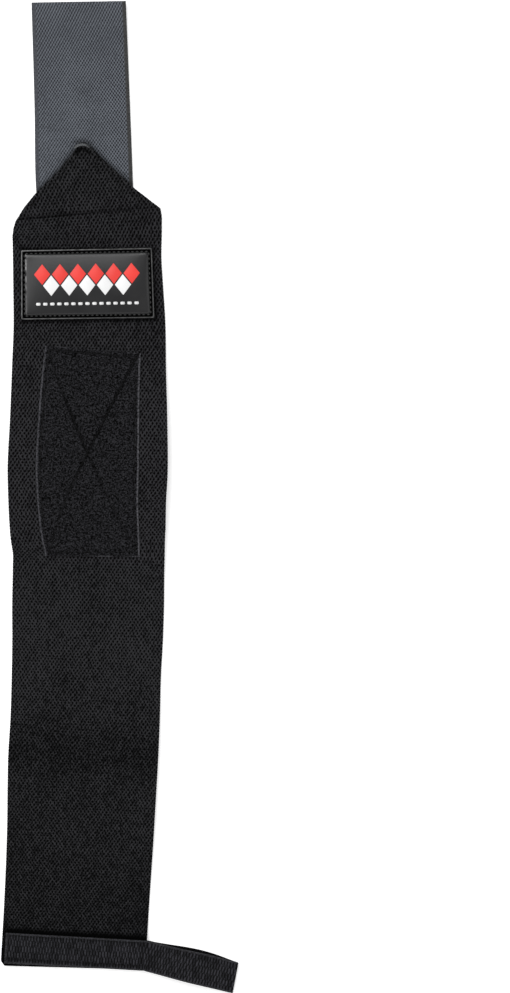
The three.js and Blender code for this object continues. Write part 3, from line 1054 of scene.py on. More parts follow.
red_lozenges = mould_row("label_red_lozenges", lozenge_model(*LOZENGE), 6, LOZENGE_PITCH, 5.3 * mm)
white_lozenges = mould_row(
    "label_white_lozenges", lozenge_model(*LOZENGE), 5, LOZENGE_PITCH, -0.65 * mm
)
bars = mould_row("label_bars", bar_model(*BAR), 15, BAR_PITCH, -10.4 * mm)

# %% [markdown]
# The tape binds the hem: it lies over it, runs on past the band's edge, folds back on itself as the
# thumb loop, and returns under the hem. Its middle line is drawn from the side, as heights over its
# run, and the cloth function lays its grid along that line. Its face is ribbed in short staggered
# strokes, between two plain selvages.

# %% The line of the tape
TAPE_INSET = 2 * mm  # from the band's left edge to its cut end
LOOP_LENGTH = 48 * mm
LOOP_OPENING = 8.2 * mm  # clear height inside the loop at its middle
FOLD_OPENING = 1.6 * mm  # clear height just inside the fold
LOOP_TURN = math.radians(11)  # how far the loop leans towards the hem's side
LOOP_BOW = 1.05 * mm  # how far the lower layer shows past the upper one
LOOP_SPREAD = 0.9 * mm  # how much wider the worn loop is, at its upper edge
LOOP_SKEW = 1 * mm  # how far its end is off square
LOOP_MITRE = 2 * mm  # over which the tape turns into the loop
STROKE_PITCH = 1.64 * mm
STROKE_LENGTH = 3.1 * mm
STROKE_DEPTH = 0.15 * mm
TAPE_SELVAGE = 0.9 * mm
TAPE_SEWN = (2.3 * mm, 1.5 * mm)  # from its lower and upper edge to its rows of stitches
TAPE_END_SEWN = 1.7 * mm  # from its cut end to the row across it
TAPE_HEM_SEWN = BAND_WIDTH - TAPE_INSET - 2 * mm  # to the row where the loop begins


def tape_line():
    """The tape's middle line: run beyond the band's edge, height and bow, in small steps."""
    half = TAPE_THICKNESS / 2
    over_hem = TAPE_THICKNESS + BAND_THICKNESS + 2 * SEAT_GAP + half
    bend = FOLD_OPENING / 2 + half
    bend_run = LOOP_LENGTH - half - bend
    bend_top = half + 2 * bend
    crest = TAPE_THICKNESS + LOOP_OPENING + half
    start = TAPE_INSET - BAND_WIDTH
    share = np.linspace(0, 1, 49)
    run = LOOP_MITRE + (bend_run - LOOP_MITRE) * share
    rise = over_hem + (bend_top - over_hem) * share
    rise += (crest - (over_hem + bend_top) / 2) * np.sin(math.pi * share) ** 2
    angle = np.linspace(math.pi / 2, -math.pi / 2, 17)[1:-1]
    turn_rise = half + bend + bend * np.sin(angle)
    turn = np.stack([bend_run + bend * np.cos(angle), turn_rise, 0 * angle], axis=-1)
    upper = np.stack([run, rise, 0 * share], axis=-1)
    lower = np.stack([run, half + 0 * share, LOOP_BOW * np.sin(math.pi * share)], axis=-1)[::-1]
    hem_run = np.linspace(start, -LOOP_MITRE, 60)
    hem_over = np.stack([hem_run, over_hem + 0 * hem_run, 0 * hem_run], axis=-1)
    hem_under = np.stack([hem_run, half + 0 * hem_run, 0 * hem_run], axis=-1)[::-1]
    return np.vstack([hem_over, upper, turn, lower, hem_under])

# %% [markdown]
# On the hem the tape follows the band, and past its edge it is free and leans towards the hem's
# side. Both places are worked out and blended over a few millimetres. The loop is worn: a little
# wider at its upper edge, and not quite square at its end.

# %% Where the tape lies
def tape_place(run, offset, height):
    """A point of the tape: run right of the band's edge, offset up the wrap, and height."""
    reach = run / LOOP_LENGTH
    upward = offset / TAPE_WIDTH + 0.5
    spread = LOOP_SPREAD * (ease(reach, 0.1, 0.65) - 0.5 * ease(reach, 0.7, 1))
    run = run + LOOP_SKEW * ease(reach, 0.6, 1) * (1 - upward)
    offset = offset + spread * upward
    middle = HEM_MARGIN + TAPE_WIDTH / 2
    edge = BAND_WIDTH / 2
    on_hem = lay(edge + run, middle + offset, height)
    start = lay(edge, np.array(middle), np.array(0.0))
    side = side_at(np.array(middle))
    cos, sin = math.cos(-LOOP_TURN), math.sin(-LOOP_TURN)
    ahead = np.array([side[0] * cos - side[1] * sin, side[0] * sin + side[1] * cos])
    free = np.stack([
        start[0] + ahead[0] * run - ahead[1] * offset,
        start[1] + ahead[1] * run + ahead[0] * offset,
        height,
    ], axis=-1)
    share = ease(run, -LOOP_MITRE, LOOP_MITRE)[:, None]
    return on_hem * (1 - share) + free * share


def strokes(length, offset):
    """Height of the tape's ribs: short strokes across it, each row set half a stroke on."""
    row = np.floor(offset / STROKE_LENGTH)
    rib = 0.5 + 0.5 * np.cos(2 * math.pi * (length / STROKE_PITCH + 0.5 * row))
    ends = 0.4 + 0.6 * np.sin(math.pi * (offset / STROKE_LENGTH - row)) ** 0.5
    return rib * ends

# %% [markdown]
# The line's length along the tape is measured, and the grid's columns are set at even steps of it,
# four to a stroke. The half thickness is then laid off square to the line, up for the outer face
# and down for the inner one, so the tape turns over by itself where the line turns back.

# %% The tape
line = tape_line()
gaps = np.linalg.norm(np.diff(line[:, :2], axis=0), axis=1)
tape_length = np.hstack([0, np.cumsum(gaps)])
tape_steps = steps(0, tape_length[-1], STROKE_PITCH / 4)
tape_points = np.stack([np.interp(tape_steps, tape_length, line[:, axis]) for axis in range(3)], axis=-1)
ahead = np.gradient(tape_points[:, :2], axis=0)
ahead /= np.linalg.norm(ahead, axis=1)[:, None]
tape_edge = np.array([0, 0.12, 0.4, 0.75, 1]) * mm
tape_field = steps(TAPE_SELVAGE + 0.2 * mm, TAPE_WIDTH - TAPE_SELVAGE - 0.2 * mm, STROKE_LENGTH / 4)
tape_rows = np.hstack([tape_edge, tape_field, TAPE_WIDTH - tape_edge[::-1]])
print("the tape is", round(tape_length[-1] / mm, 1), "mm long")


def place_tape(column, row, on_top):
    offset = tape_rows[row]
    reach = np.minimum(offset, TAPE_WIDTH - offset)
    inside = np.clip(reach / (0.5 * mm), 0, 1)
    round_off = rounding(inside) * 0.42 * TAPE_THICKNESS
    field = ease(reach, TAPE_SELVAGE - 0.3 * mm, TAPE_SELVAGE + 0.3 * mm)
    ribs = STROKE_DEPTH * field * (strokes(tape_steps[column], offset) - 1)
    groove = 0.1 * mm * valley(reach - TAPE_SELVAGE - 0.2 * mm, 0.5 * mm)
    half = TAPE_THICKNESS / 2 - round_off + np.where(on_top, ribs, 0) - groove
    half = np.where(on_top, half, -half)
    run, height, bow = tape_points[column].T
    forward = ahead[column]
    laid = tape_place(
        run - forward[:, 1] * half, offset - TAPE_WIDTH / 2 + bow, height + forward[:, 0] * half
    )
    length = tape_steps[column]
    on_hem = 1 - ease(run, -4 * mm, 0 * mm)
    # painted shade along the rows of stitches, across the cut end and where the loop begins
    low_row = 0.8 * on_hem * valley(offset - TAPE_SEWN[0], 0.9 * mm)
    high_row = 0.8 * on_hem * valley(TAPE_WIDTH - offset - TAPE_SEWN[1], 0.6 * mm)
    start = 0.85 * valley(length - TAPE_END_SEWN, 0.6 * mm)
    last = 0.6 * valley(length - TAPE_HEM_SEWN, 0.7 * mm)
    # painted shade on the upper edge of the loop's lower layer, under the upper layer
    shaded_loop_edge = np.where((height < TAPE_THICKNESS) & (TAPE_WIDTH - offset < 2 * mm), 1, 0)
    return laid, offset, length, np.max([low_row, high_row, start, last, shaded_loop_edge], axis=0)


tape = cloth("hem_tape", len(tape_steps) - 1, len(tape_rows) - 1, place_tape, reverse=True)

# %% [markdown]
# A stitch is a short length of thread that dives into the cloth at both ends. One is made from a sphere,
# stretched and bent down, and copied along each line of sewing. The round end of the point is held by a
# bar of thicker grey thread, which is two rows of short, fat stitches; its grey also stands in for a
# painted highlight on the crest of the fold.

# %% One stitch and lines of them
STITCH = 2.6 * mm
THREAD = 0.34 * mm


def stitch_model(length=STITCH, thread=THREAD):
    bpy.ops.object.select_all(action="DESELECT")
    bpy.ops.mesh.primitive_uv_sphere_add(segments=8, ring_count=6, radius=0.5)
    model = bpy.context.object
    corners = corners_of(model) * np.array([length * 0.86, thread, thread])
    corners[:, 2] -= (corners[:, 0] / length * 2) ** 2 * thread * 0.45
    put_corners(model, corners)
    return model


def line_of(start, end, pitch=STITCH):
    """Stitch places along a straight line, and the turn of each."""
    start, end = np.array(start, dtype=float), np.array(end, dtype=float)
    count = max(1, round(np.linalg.norm(end - start) / pitch))
    share = (np.arange(count) + 0.5) / count
    places = start + (end - start) * share[:, None]
    return places, np.full(count, math.atan2(end[1] - start[1], end[0] - start[0]))


def together(*lines):
    """Several lines of stitches as one: all the places, and all the turns."""
    return tuple(np.concatenate(parts) for parts in zip(*lines))


def lines_of(corners, pitch=STITCH):
    """Stitch places along a run of straight lines."""
    return together(*(line_of(start, end, pitch) for start, end in zip(corners[:-1], corners[1:])))


print("a stitch is", round(STITCH / mm, 1), "mm long")

# %% [markdown]
# The patch is sewn along its box and both diagonals, and its stitches lie in the pile. The label's
# stitches run round in its groove.

# %% Stitches on the patch and the label
def patch_lines():
    left, right = PATCH_BOX - patch_half, patch_half - PATCH_BOX
    bottom, top = PATCH_START + PATCH_BOX, PATCH_START + PATCH_LENGTH - PATCH_BOX
    box = lines_of([(left, bottom), (right, bottom), (right, top), (left, top), (left, bottom)])
    return together(box, line_of((left, bottom), (right, top)), line_of((left, top), (right, bottom)))


def lay_patch_stitches(across, along, up):
    base = PATCH_TAPE + 0.7 * pile_height(across, along)
    return lay_patch(across, along, base + 0.12 * mm + up)


LABEL_STITCH = 2.5 * mm
LABEL_SEWN = 1.95 * mm  # from the label's edge to its stitches


def label_lines():
    x, y = LABEL_WIDTH / 2 - LABEL_SEWN / LABEL_SIDE, LABEL_HEIGHT / 2 - LABEL_SEWN
    return lines_of([(-x, -y), (x, -y), (x, y), (-x, y), (-x, -y)], LABEL_STITCH)


def lay_label_stitches(x, y, up):
    return lay_label(x, y, GROOVE_FLOOR + 0.75 * mm + up)


patch_stitches = copies("patch_stitches", stitch_model(), *patch_lines(), lay_patch_stitches)
label_stitches = copies(
    "label_stitches", stitch_model(LABEL_STITCH * 0.85, mm), *label_lines(), lay_label_stitches
)

# %% [markdown]
# The folded corners are held by a row inside each slope, and the round end of the point by a bar of thick
# grey thread: two strands of short stitches along an arc, whose light grey partly paints the highlight on
# the crest of the folded tip.

# %% Stitches on the point
def slope_lines():
    """The rows that hold the folded corners, a little inside both slopes."""
    heights = BAND_LENGTH + np.array([5, 14, 23, 31]) * mm
    left, right = band_edges(heights)
    inset = ROW_INSET / math.cos(math.pi / 4)
    left_row = lines_of(list(zip(left + inset, heights)))
    right_row = lines_of(list(zip(right - inset, heights)))
    return together(left_row, right_row)


def lay_band_stitches(across, along, up):
    return lay(across, along, band_topside(across, along) + sewing(across, along) + up)


slope_stitches = copies("slope_stitches", stitch_model(), *slope_lines(), lay_band_stitches)
STRAND_GAP = 0.55 * mm  # between the two strands round the end of the point


def tack_arc():
    """Places, turns and sizes of two strands round the end of the point, thinner on the right."""
    angles = np.radians(np.arange(-46, 40, 12))
    turn = np.hstack([angles, angles + math.radians(6)])
    radius = (TIP_RADIUS - np.repeat([0, STRAND_GAP], len(angles)))[:, None]
    places = TIP_CENTRE + radius * np.stack([np.sin(turn), np.cos(turn)], axis=-1)
    return places, -turn, 1 - 0.45 * ease(turn, 0.1, 0.7) - 0.25 * ease(-turn, 0.45, 0.9)


tack_places, tack_turns, tack_sizes = tack_arc()
tip_tack_and_highlight = copies(
    "tip_tack_and_highlight", stitch_model(1.9 * mm, 0.78 * mm), tack_places, tack_turns, lay_band_stitches, tack_sizes
)

# %% [markdown]
# The tape is sewn to the hem by a row along each edge and one across each end of them, and the
# row across at the band's edge is where the loop begins.

# %% Stitches on the tape
def tape_lines():
    """Rows along both edges of the tape where it covers the hem, and one across at the loop."""
    start, end = TAPE_END_SEWN, TAPE_HEM_SEWN
    low, high = TAPE_SEWN[0], TAPE_WIDTH - TAPE_SEWN[1]
    low_row, high_row = (line_of((start, side), (end, side), 2.4 * mm) for side in (low, high))
    last, first = (line_of((place, low), (place, high), 1.9 * mm) for place in (end, start))
    return together(low_row, high_row, last, first)


def lay_tape_stitches(length, offset, up):
    run, height = (np.interp(length, tape_steps, tape_points[:, axis]) for axis in range(2))
    return tape_place(run, offset - TAPE_WIDTH / 2, height + TAPE_THICKNESS / 2 - 0.02 * mm + up)


tape_stitches = copies("tape_stitches", stitch_model(2 * mm, 0.3 * mm), *tape_lines(), lay_tape_stitches)

# %% [markdown]
# Materials are built from nodes. A weave reads the pattern map, so it follows the cloth, and a
# small helper wires one Math node after another. The same height then drives two things: the
# fine bump, and the colour between pit and ridge.

# %% Wiring helpers
def srgb(red, green, blue):
    """A colour as a picture shows it, 0 to 255, as the linear light that a shader needs."""
    def light(value):
        value = value / 255
        return value / 12.92 if value <= 0.04045 else ((value + 0.055) / 1.055) ** 2.4
    return (light(red), light(green), light(blue), 1)


def grey(value):
    return srgb(value, value, value)


class Wiring:
    """A material's node tree, with short names for the nodes used here."""

    def __init__(self, name, **shader):
        self.material = bpy.data.materials.new(name)
        self.material.use_nodes = True
        self.tree = self.material.node_tree
        self.shader = self.tree.nodes["Principled BSDF"]
        for socket, value in shader.items():
            self.shader.inputs[socket.replace("_", " ")].default_value = value

    def put(self, node, socket, value):
        """Sets a socket to a number or colour, or links another node's output to it."""
        if isinstance(value, bpy.types.NodeSocket):
            self.tree.links.new(value, node.inputs[socket])
        else:
            node.inputs[socket].default_value = value

    def math(self, operation, *values):
        node = self.tree.nodes.new("ShaderNodeMath")
        node.operation = operation
        for index, value in enumerate(values):
            self.put(node, index, value)
        return node.outputs[0]

    def add(self, one, other):
        return self.math("ADD", one, other)

    def times(self, one, other):
        return self.math("MULTIPLY", one, other)

    def cell(self, x, y):
        """A random number for each cell of a grid, 0 to 1."""
        join = self.tree.nodes.new("ShaderNodeCombineXYZ")
        node = self.tree.nodes.new("ShaderNodeTexWhiteNoise")
        for index, value in enumerate((x, y)):
            self.put(join, index, self.math("FLOOR", value))
        self.tree.links.new(join.outputs[0], node.inputs["Vector"])
        return node.outputs["Value"]

    def unshaded(self, depth):
        """1 on open cloth, and less by up to depth where the piece's shade is 1."""
        node = self.tree.nodes.new("ShaderNodeAttribute")
        node.attribute_name = "shade"
        return self.math("SUBTRACT", 1, self.times(node.outputs["Fac"], depth))

    def pattern(self):
        """Across and along of the flat pattern, in millimetres."""
        node = self.tree.nodes.new("ShaderNodeUVMap")
        node.uv_map = "pattern"
        split = self.tree.nodes.new("ShaderNodeSeparateXYZ")
        self.tree.links.new(node.outputs[0], split.inputs[0])
        return split.outputs[0], split.outputs[1]

    def wave(self, across, along, pitch_across, pitch_along):
        """The cosine of a wave with these pitches in millimetres, from -1 to 1."""
        turn = self.add(self.math("DIVIDE", across, pitch_across), self.math("DIVIDE", along, pitch_along))
        return self.math("COSINE", self.times(turn, 2 * math.pi))

    def noise(self, scale, detail):
        """Noise that stays with the piece, with scale lumps to the metre."""
        place = self.tree.nodes.new("ShaderNodeTexCoord")
        node = self.tree.nodes.new("ShaderNodeTexNoise")
        for socket, value in (("Vector", place.outputs["Object"]), ("Scale", scale), ("Detail", detail)):
            self.put(node, socket, value)
        return node.outputs[0]

    def range(self, value, low, high, new_low, new_high):
        node = self.tree.nodes.new("ShaderNodeMapRange")
        for socket, number in enumerate((value, low, high, new_low, new_high)):
            self.put(node, socket, number)
        return node.outputs[0]

    def scaled(self, tone, *ranges):
        """The tone, times each range in turn."""
        for each in ranges:
            tone = self.times(tone, self.range(*each))
        return tone

    def inside(self, place, width, middle=0):
        """How far inside a width in metres a place in millimetres lies."""
        from_middle = self.math("ABSOLUTE", self.math("SUBTRACT", place, middle))
        return self.math("SUBTRACT", width / 2 / mm, from_middle)

    def blend(self, share, first, second):
        """A mix of two colours."""
        node = self.tree.nodes.new("ShaderNodeMix")
        node.data_type = "RGBA"
        self.put(node, 0, share)
        self.put(node, 6, first)
        self.put(node, 7, second)
        return node.outputs[2]

    def bump(self, height, distance, strength):
        node = self.tree.nodes.new("ShaderNodeBump")
        for socket, value in (("Strength", strength), ("Distance", distance), ("Height", height)):
            self.put(node, socket, value)
        return node.outputs[0]

    def finish(self, colour, roughness, normal=None):
        for socket, value in (("Base Color", colour), ("Roughness", roughness), ("Normal", normal)):
            if value is not None:
                self.put(self.shader, socket, value)
        return self.material


def dress(piece, *materials):
    piece.data.materials.clear()
    for material in materials:
        piece.data.materials.append(material)
    print(piece.name, "is dressed in", " and ".join(material.name for material in materials))


# %% [markdown]
# The elastic is matt black: its pits swallow the light, and its ridges catch a little. A plain
# pair of waves would look printed, so noise sways the threads and lets first one set of ridges
# lead and then the other. Grain and a random tone for each thread's bead break up the ridges.
# The tone also changes along the band as painted shade and light: darker towards the hem, near row 84 and
# from row 222 on, and lighter between rows 95 and 120, as in the photograph.

# %% The elastic weave
def elastic_material():
    wiring = Wiring("elastic weave", Specular_IOR_Level=0.02, Sheen_Weight=0.01, Sheen_Roughness=0.5)
    threads, rows = wiring.pattern()
    swayed = wiring.add(threads, wiring.range(wiring.noise(190, 2), 0.3, 0.7, -0.2, 0.2))
    rising = wiring.wave(swayed, rows, 1, -2)
    falling = wiring.wave(swayed, rows, 1, 2)
    lean = wiring.range(wiring.noise(210, 2), 0.35, 0.65, -0.22, 0.22)
    strength = wiring.add(wiring.range(rows, 60, 250, 0.92, 0.8), lean)
    pit = wiring.times(
        wiring.range(rising, -1, 1, 0, 1),
        wiring.math("DIVIDE", wiring.add(wiring.times(falling, strength), 1), wiring.add(strength, 1)),
    )
    height = wiring.math("SUBTRACT", 1, pit)
    half_rows = wiring.times(rows, 0.5)
    bead = wiring.cell(wiring.math("SUBTRACT", threads, half_rows), wiring.add(threads, half_rows))
    grain = wiring.noise(1300, 2)
    from_painted_dip = wiring.math("ABSOLUTE", wiring.math("SUBTRACT", rows, 84))
    # the ranges on rows and on the distance from row 84 paint shade and light along the band; the noises
    # and beads are random tone
    tone = wiring.scaled(
        wiring.math("POWER", height, 3),
        (grain, 0.35, 0.65, 0.35, 1.65),
        (wiring.noise(2600, 1), 0.3, 0.7, 0.5, 1.5),
        (bead, 0, 1, 0.6, 1.4),
        (wiring.noise(45, 3), 0.3, 0.7, 0.88, 1.12),
        (rows, 95, 120, 1, 1.18),
        (rows, 0, 130, 0.6, 0.97),
        (rows, 22, 48, 0.78, 1),
        (rows, 222, 236, 1, 0.82),
        (from_painted_dip, 3, 16, 0.62, 1),
        (wiring.noise(24, 2), 0.35, 0.65, 0.9, 1.1),
    )
    tone = wiring.times(tone, wiring.unshaded(0.95))
    colour = wiring.blend(tone, grey(1), srgb(45, 45, 47))
    relief = wiring.add(height, wiring.times(grain, 0.6))
    return wiring.finish(colour, 0.9, wiring.bump(relief, 0.25 * mm, 0.7))


dress(band, elastic_material())

# %% [markdown]
# The strap's ribs are lit along their tops. Down the strap the webbing is worn, and a second set
# of ribs shows through the first, so a crossed wave comes in there. Its selvages are plain, and
# the right one is the darker. The pattern map counts the ribs, which lie closer further down.

# %% The grey twill
def webbing_material():
    wiring = Wiring("grey twill", Specular_IOR_Level=0.1, Sheen_Weight=0.03, Sheen_Roughness=0.4)
    across, ribs = wiring.pattern()
    rib = wiring.wave(across, ribs, RIB_ACROSS / mm, 1)
    cross = wiring.wave(across, ribs, RIB_ACROSS / mm * 1.07, -0.92)
    down = wiring.range(ribs, 4, 17, 0, 1)
    strength = wiring.times(down, wiring.range(across, -25, 25, 0.15, 0.6))
    strength = wiring.add(strength, wiring.range(wiring.noise(150, 2), 0.35, 0.65, 0.2, 0.6))
    height = wiring.add(wiring.times(rib, 0.34), wiring.times(wiring.times(cross, strength), 0.34))
    height = wiring.add(height, 0.5)
    field = wiring.range(wiring.inside(across, STRAP_WIDTH), 1.7, 2.3, 0, 1)
    grain = wiring.noise(1900, 2)
    tone = wiring.scaled(
        height,
        (grain, 0.3, 0.7, 0.55, 1.45),
        (wiring.noise(60, 3), 0.3, 0.7, 0.86, 1.14),
        (ribs, 12, 28, 1, 1.1),
    )
    twilled = wiring.blend(tone, srgb(14, 16, 20), srgb(99, 103, 110))
    right_side = wiring.math("GREATER_THAN", across, 0)
    plain = wiring.blend(
        wiring.range(grain, 0.35, 0.65, 0, 1),
        wiring.blend(right_side, srgb(50, 52, 57), grey(40)),
        wiring.blend(right_side, srgb(78, 80, 85), grey(65)),
    )
    colour = wiring.blend(wiring.unshaded(0.75), grey(14), wiring.blend(field, plain, twilled))
    relief = wiring.add(wiring.times(height, field), wiring.times(grain, 0.4))
    return wiring.finish(colour, 0.75, wiring.bump(relief, 0.2 * mm, 0.6))


dress(strap, webbing_material())

# %% [markdown]
# The pile is a black fuzz with no pattern, so noise alone makes it, and takes the loops and the
# mat under them through the same range of greys. The tape's own weave shows at its edges as a
# lighter line, brighter on the right, and here and there worn away at the ends.

# %% The pile and the patch's tape
def pile_material():
    wiring = Wiring("loop pile", Specular_IOR_Level=0.03, Sheen_Weight=0.03, Sheen_Roughness=0.6)
    grain = wiring.noise(1250, 3)
    patchy = wiring.noise(200, 3)
    tone = wiring.scaled(wiring.range(grain, 0.44, 0.62, 0, 1.3), (patchy, 0.35, 0.65, 0.45, 1.5))
    colour = wiring.blend(tone, grey(1), srgb(69, 69, 73))
    return wiring.finish(colour, 0.95, wiring.bump(grain, 0.4 * mm, 0.8))


def patch_material():
    wiring = Wiring("patch tape", Specular_IOR_Level=0.03, Sheen_Weight=0.02)
    across, along = wiring.pattern()
    side = wiring.inside(across, PATCH_WIDTH)
    end = wiring.inside(along, PATCH_LENGTH, (PATCH_START + PATCH_LENGTH / 2) / mm)
    worn_end = wiring.range(wiring.noise(160, 2), 0.35, 0.65, 0.45, 1.05)
    inside = wiring.math("MINIMUM", side, wiring.add(end, worn_end))
    field = wiring.range(inside, 0.7, 1.1, 0, 1)
    grain = wiring.noise(1250, 3)
    light = wiring.blend(wiring.math("GREATER_THAN", across, 0), srgb(72, 72, 76), srgb(86, 86, 90))
    woven = wiring.blend(wiring.range(grain, 0.35, 0.65, 0, 1), srgb(34, 34, 36), light)
    matted = wiring.blend(wiring.range(grain, 0.42, 0.64, 0, 1), grey(1), srgb(44, 44, 47))
    colour = wiring.blend(wiring.unshaded(1), grey(1), wiring.blend(field, woven, matted))
    return wiring.finish(colour, 0.92, wiring.bump(grain, 0.35 * mm, 0.7))


dress(patch, patch_material())
dress(pile, pile_material())

# %% [markdown]
# The label's rubber is nearly black, and what shows on it is the soft reflection of the light on its
# swollen panel, so it is fairly smooth. Its groove is cut off from the light, by the painted shade kept in
# its mesh. The rim and the panel's left edge get a painted highlight in grey, stronger towards the upper
# left and broken up by noise.

# %% The rubber
def painted_edge_highlights(wiring, tone):
    """The label's colour, with a painted highlight in grey on its rim and the panel's left edge."""
    x, y = wiring.pattern()
    side = wiring.inside(x, LABEL_WIDTH)
    inset = wiring.math("MINIMUM", side, wiring.inside(y, LABEL_HEIGHT))
    highlight_noise = wiring.noise(420, 3)
    # a painted highlight on the rim, stronger towards the upper left, broken up by noise
    rim = wiring.scaled(
        wiring.range(inset, 0.55, 0.75, 1, 0),
        (wiring.math("SUBTRACT", y, x), -30, 40, 0.35, 1),
        (highlight_noise, 0.35, 0.6, 0.35, 1),
    )
    from_edge = wiring.math("ABSOLUTE", wiring.math("SUBTRACT", side, 2.55))
    # a painted highlight along the panel's left edge, stronger towards its top
    panel = wiring.scaled(
        wiring.range(from_edge, 0.2, 0.5, 1, 0),
        (x, -31, -29, 1, 0),
        (wiring.math("ABSOLUTE", y), 16, 16.4, 1, 0),
        (y, -8, 14, 0.2, 1),
        (highlight_noise, 0.4, 0.6, 0, 1),
    )
    # grey(104) and grey(150) are the painted highlight colours
    return wiring.blend(panel, wiring.blend(rim, tone, grey(104)), grey(150))


def rubber_material(name, colour, roughness, shaded=False):
    wiring = Wiring(name, Specular_IOR_Level=0.45)
    cast = wiring.noise(900, 3)
    worn = wiring.noise(70, 4)
    lighter = [part * 1.15 for part in colour[:3]] + [1]
    tone = wiring.blend(wiring.range(worn, 0.3, 0.7, 0, 1), colour, lighter)
    rough = wiring.range(worn, 0.3, 0.7, roughness - 0.04, roughness + 0.06)
    # the label gets painted highlights on its edges and a painted shade in its groove
    if shaded:
        tone = painted_edge_highlights(wiring, tone)
        open_face = wiring.unshaded(1)
        tone = wiring.blend(open_face, grey(1), tone)
        rough = wiring.range(open_face, 0, 1, 1, rough)
        wiring.put(wiring.shader, "Specular IOR Level", wiring.range(open_face, 0, 1, 0.03, 0.45))
    return wiring.finish(tone, rough, wiring.bump(cast, 0.05 * mm, 0.25))


dress(label, rubber_material("black rubber", srgb(10, 10, 12), 0.32, shaded=True))
dress(red_lozenges, rubber_material("red rubber", srgb(214, 50, 42), 0.5))
white_rubber = rubber_material("white rubber", srgb(219, 219, 219), 0.5)
dress(white_lozenges, white_rubber)
dress(bars, white_rubber)

# %% [markdown]
# The tape's ribs are short strokes in staggered rows, so the node tree counts rows and strokes, and sets
# every other row half a stroke on. Each stroke takes a random tone of its own, and each file of strokes is
# shifted a little, so the rows end raggedly. Its back is plain and darker, dark enough to paint the shade
# inside the thumb loop, and the rows of stitches and the upper edge of the loop's lower layer get a
# painted shade.

# %% The ribbed tape
def tape_material():
    wiring = Wiring("ribbed tape", Specular_IOR_Level=0.04, Sheen_Weight=0.02)
    offset, length = wiring.pattern()
    half_turn = wiring.math("DIVIDE", length, STROKE_PITCH / mm / 2)
    ragged = wiring.range(wiring.cell(half_turn, 0), 0, 1, -0.25, 0.25)
    run = wiring.add(wiring.math("DIVIDE", offset, STROKE_LENGTH / mm), ragged)
    row = wiring.math("FLOOR", run)
    turn = wiring.times(wiring.add(half_turn, row), 0.5)
    rib = wiring.add(wiring.times(wiring.math("COSINE", wiring.times(turn, 2 * math.pi)), 0.5), 0.5)
    ends = wiring.math("SQRT", wiring.math("SINE", wiring.times(wiring.math("FRACT", run), math.pi)))
    height = wiring.times(rib, wiring.range(ends, 0, 1, 0.45, 1))
    stroke = wiring.cell(wiring.add(turn, 0.5), row)
    side = wiring.inside(offset, TAPE_WIDTH, TAPE_WIDTH / 2 / mm)
    inside = wiring.math("MINIMUM", side, wiring.math("SUBTRACT", length, 0.2))
    field = wiring.range(inside, 0.7, 1.1, 0, 1)
    grain = wiring.noise(1500, 2)
    tone = wiring.scaled(height, (grain, 0.3, 0.7, 0.3, 1.6), (stroke, 0, 1, 0.45, 1.5))
    ribbed = wiring.blend(tone, grey(6), srgb(50, 50, 54))
    plain = wiring.blend(wiring.range(grain, 0.35, 0.65, 0, 1), grey(26), srgb(56, 56, 60))
    colour = wiring.blend(wiring.unshaded(0.9), grey(2), wiring.blend(field, plain, ribbed))
    relief = wiring.add(wiring.times(height, field), wiring.times(grain, 0.4))
    return wiring.finish(colour, 0.85, wiring.bump(relief, 0.2 * mm, 0.7))


def plain_material(name, dark, light):
    """The plain reverse of a tape."""
    wiring = Wiring(name, Specular_IOR_Level=0.03)
    grain = wiring.noise(1800, 2)
    return wiring.finish(wiring.blend(grain, dark, light), 0.9, wiring.bump(grain, 0.1 * mm, 0.5))


# the reverse is much darker than the face, partly a painted shade for the inside of the loop
dress(tape, tape_material(), plain_material("tape reverse", grey(2), grey(14)))

# %% [markdown]
# Thread is too thin to show a pattern, so one material with fine twisted noise serves for all of it, in
# its own colour and shine: black in the cloth; a shinier, lighter grey one in the label's groove, whose
# grey partly paints the glints on it; grey at the point's tip, which partly paints the highlight on the
# crest of the fold; and stiff dark wire for the hooks.

# %% The thread and the hooks
def thread_material(name, colour, roughness=0.6, shine=0.15):
    wiring = Wiring(name, Specular_IOR_Level=shine)
    twist = wiring.noise(4000, 2)
    dark, light = ([part * share for part in colour[:3]] + [1] for share in (0.6, 1.4))
    return wiring.finish(wiring.blend(twist, dark, light), roughness, wiring.bump(twist, 0.08 * mm, 0.6))


black_thread = thread_material("black thread", grey(8))
for stitched in (patch_stitches, slope_stitches, tape_stitches):
    dress(stitched, black_thread)
# the label's thread is a lighter grey than the black thread, partly a painted glint on it
dress(label_stitches, thread_material("shiny thread", grey(26), 0.5, 0.4))
# the grey thread at the tip is partly a painted highlight on the crest of the fold
dress(tip_tack_and_highlight, thread_material("grey thread", srgb(88, 90, 92)))
dress(hooks, thread_material("hook wire", srgb(50, 52, 57), 0.4, 0.4))

# %% [markdown]
# Each piece rides on the one body of the solid model, and the solids themselves are hidden.

# %% Attach the pieces to the frame
for piece, slot_name in (
    (band, "elastic"),
    (slope_stitches, "elastic"),
    (tip_tack_and_highlight, "elastic"),
    (strap, "webbing"),
    (hooks, "webbing"),
    (patch, "pile"),
    (pile, "pile"),
    (patch_stitches, "pile"),
    (label, "label"),
    (red_lozenges, "label"),
    (white_lozenges, "label"),
    (bars, "label"),
    (label_stitches, "label"),
    (tape, "tape"),
    (tape_stitches, "tape"),
):
    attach(piece, "root")

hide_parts("elastic_band")
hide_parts("hook_strap")
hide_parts("loop_patch")
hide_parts("label")
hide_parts("loop_tape")

# %% [markdown]
# The photograph looks straight down on the wrap. A long lens high above keeps the sheet free of
# perspective. The picture is 510 by 993 pixels, and the wrap fills its left side from end to end.

# %% Camera
PICTURE = (510, 993)
PIXEL = 0.5263 * mm  # one pixel of the photograph on the table
CENTRE_COLUMN, CENTRE_ROW = 119.75, 497  # where the wrap's middle lies in the photograph
LENS = 300
SENSOR = 36

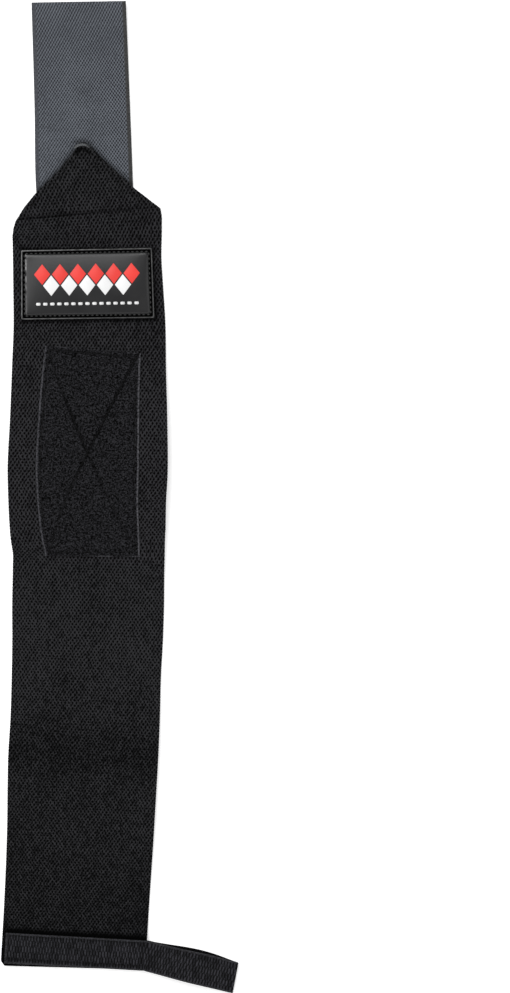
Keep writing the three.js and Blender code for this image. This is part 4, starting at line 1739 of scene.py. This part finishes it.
view_length = PICTURE[1] * PIXEL
camera_data = bpy.data.cameras.new("camera")
camera_data.lens = LENS
camera_data.sensor_width = SENSOR
camera = bpy.data.objects.new("camera", camera_data)
bpy.context.collection.objects.link(camera)
camera.location = (
    (PICTURE[0] / 2 - CENTRE_COLUMN) * PIXEL,
    (CENTRE_ROW - PICTURE[1] / 2) * PIXEL,
    view_length / SENSOR * LENS,
)
bpy.context.scene.camera = camera
print("the camera stands", round(camera.location.z, 3), "m above the table")

# %% [markdown]
# The floor is a plain pale sheet. The photograph's ground is pure white, so the floor glows
# faintly, like a light table. The light is soft: a white surround, a large key panel at the upper
# left, which shades the weave and gives the rubber its sheen, and three weaker panels at the
# left, the right and the front, which keep the shadows thin.

# %% Floor and light
FLOOR_GLOW = 0.4
FLOOR_DROP = 0.1 * mm  # so that the floor and the cloth on it don't share a face

bpy.ops.object.select_all(action="DESELECT")
bpy.ops.mesh.primitive_plane_add(size=6, location=(0, 0, -FLOOR_DROP))
floor = bpy.context.object
floor.name = "floor"
floor_paint = Wiring(
    "pale floor", Specular_IOR_Level=0.1, Emission_Color=(1, 1, 1, 1), Emission_Strength=FLOOR_GLOW
)
floor_colour = floor_paint.blend(floor_paint.noise(3, 2), (0.9, 0.9, 0.9, 1), (0.92, 0.92, 0.92, 1))
dress(floor, floor_paint.finish(floor_colour, 0.9))

world = bpy.data.worlds.new("surround")
bpy.context.scene.world = world
world.use_nodes = True
background = world.node_tree.nodes["Background"]
background.inputs["Color"].default_value = (1, 1, 1, 1)
background.inputs["Strength"].default_value = 0.5


def panel_light(name, place, size, power, aim=(0, 0, 0)):
    light = bpy.data.lights.new(name, "AREA")
    light.shape = "RECTANGLE"
    light.size, light.size_y = size
    light.energy = power
    lamp = bpy.data.objects.new(name, light)
    bpy.context.collection.objects.link(lamp)
    lamp.location = place
    away = lamp.location - type(lamp.location)(aim)
    lamp.rotation_euler = away.to_track_quat("Z", "Y").to_euler()
    print(f"{name} light: {power} W")


panel_light("key", (-0.9, 1.35, 2.6), (1.8, 1.8), 54)
panel_light("left fill", (-2.1, -0.2, 2.2), (0.9, 2), 18)
panel_light("right fill", (2.1, -0.2, 2.2), (1.2, 2.4), 12)
panel_light("front fill", (0, -2.1, 2.2), (2.4, 1.2), 12)
bpy.context.scene.view_settings.view_transform = "Standard"
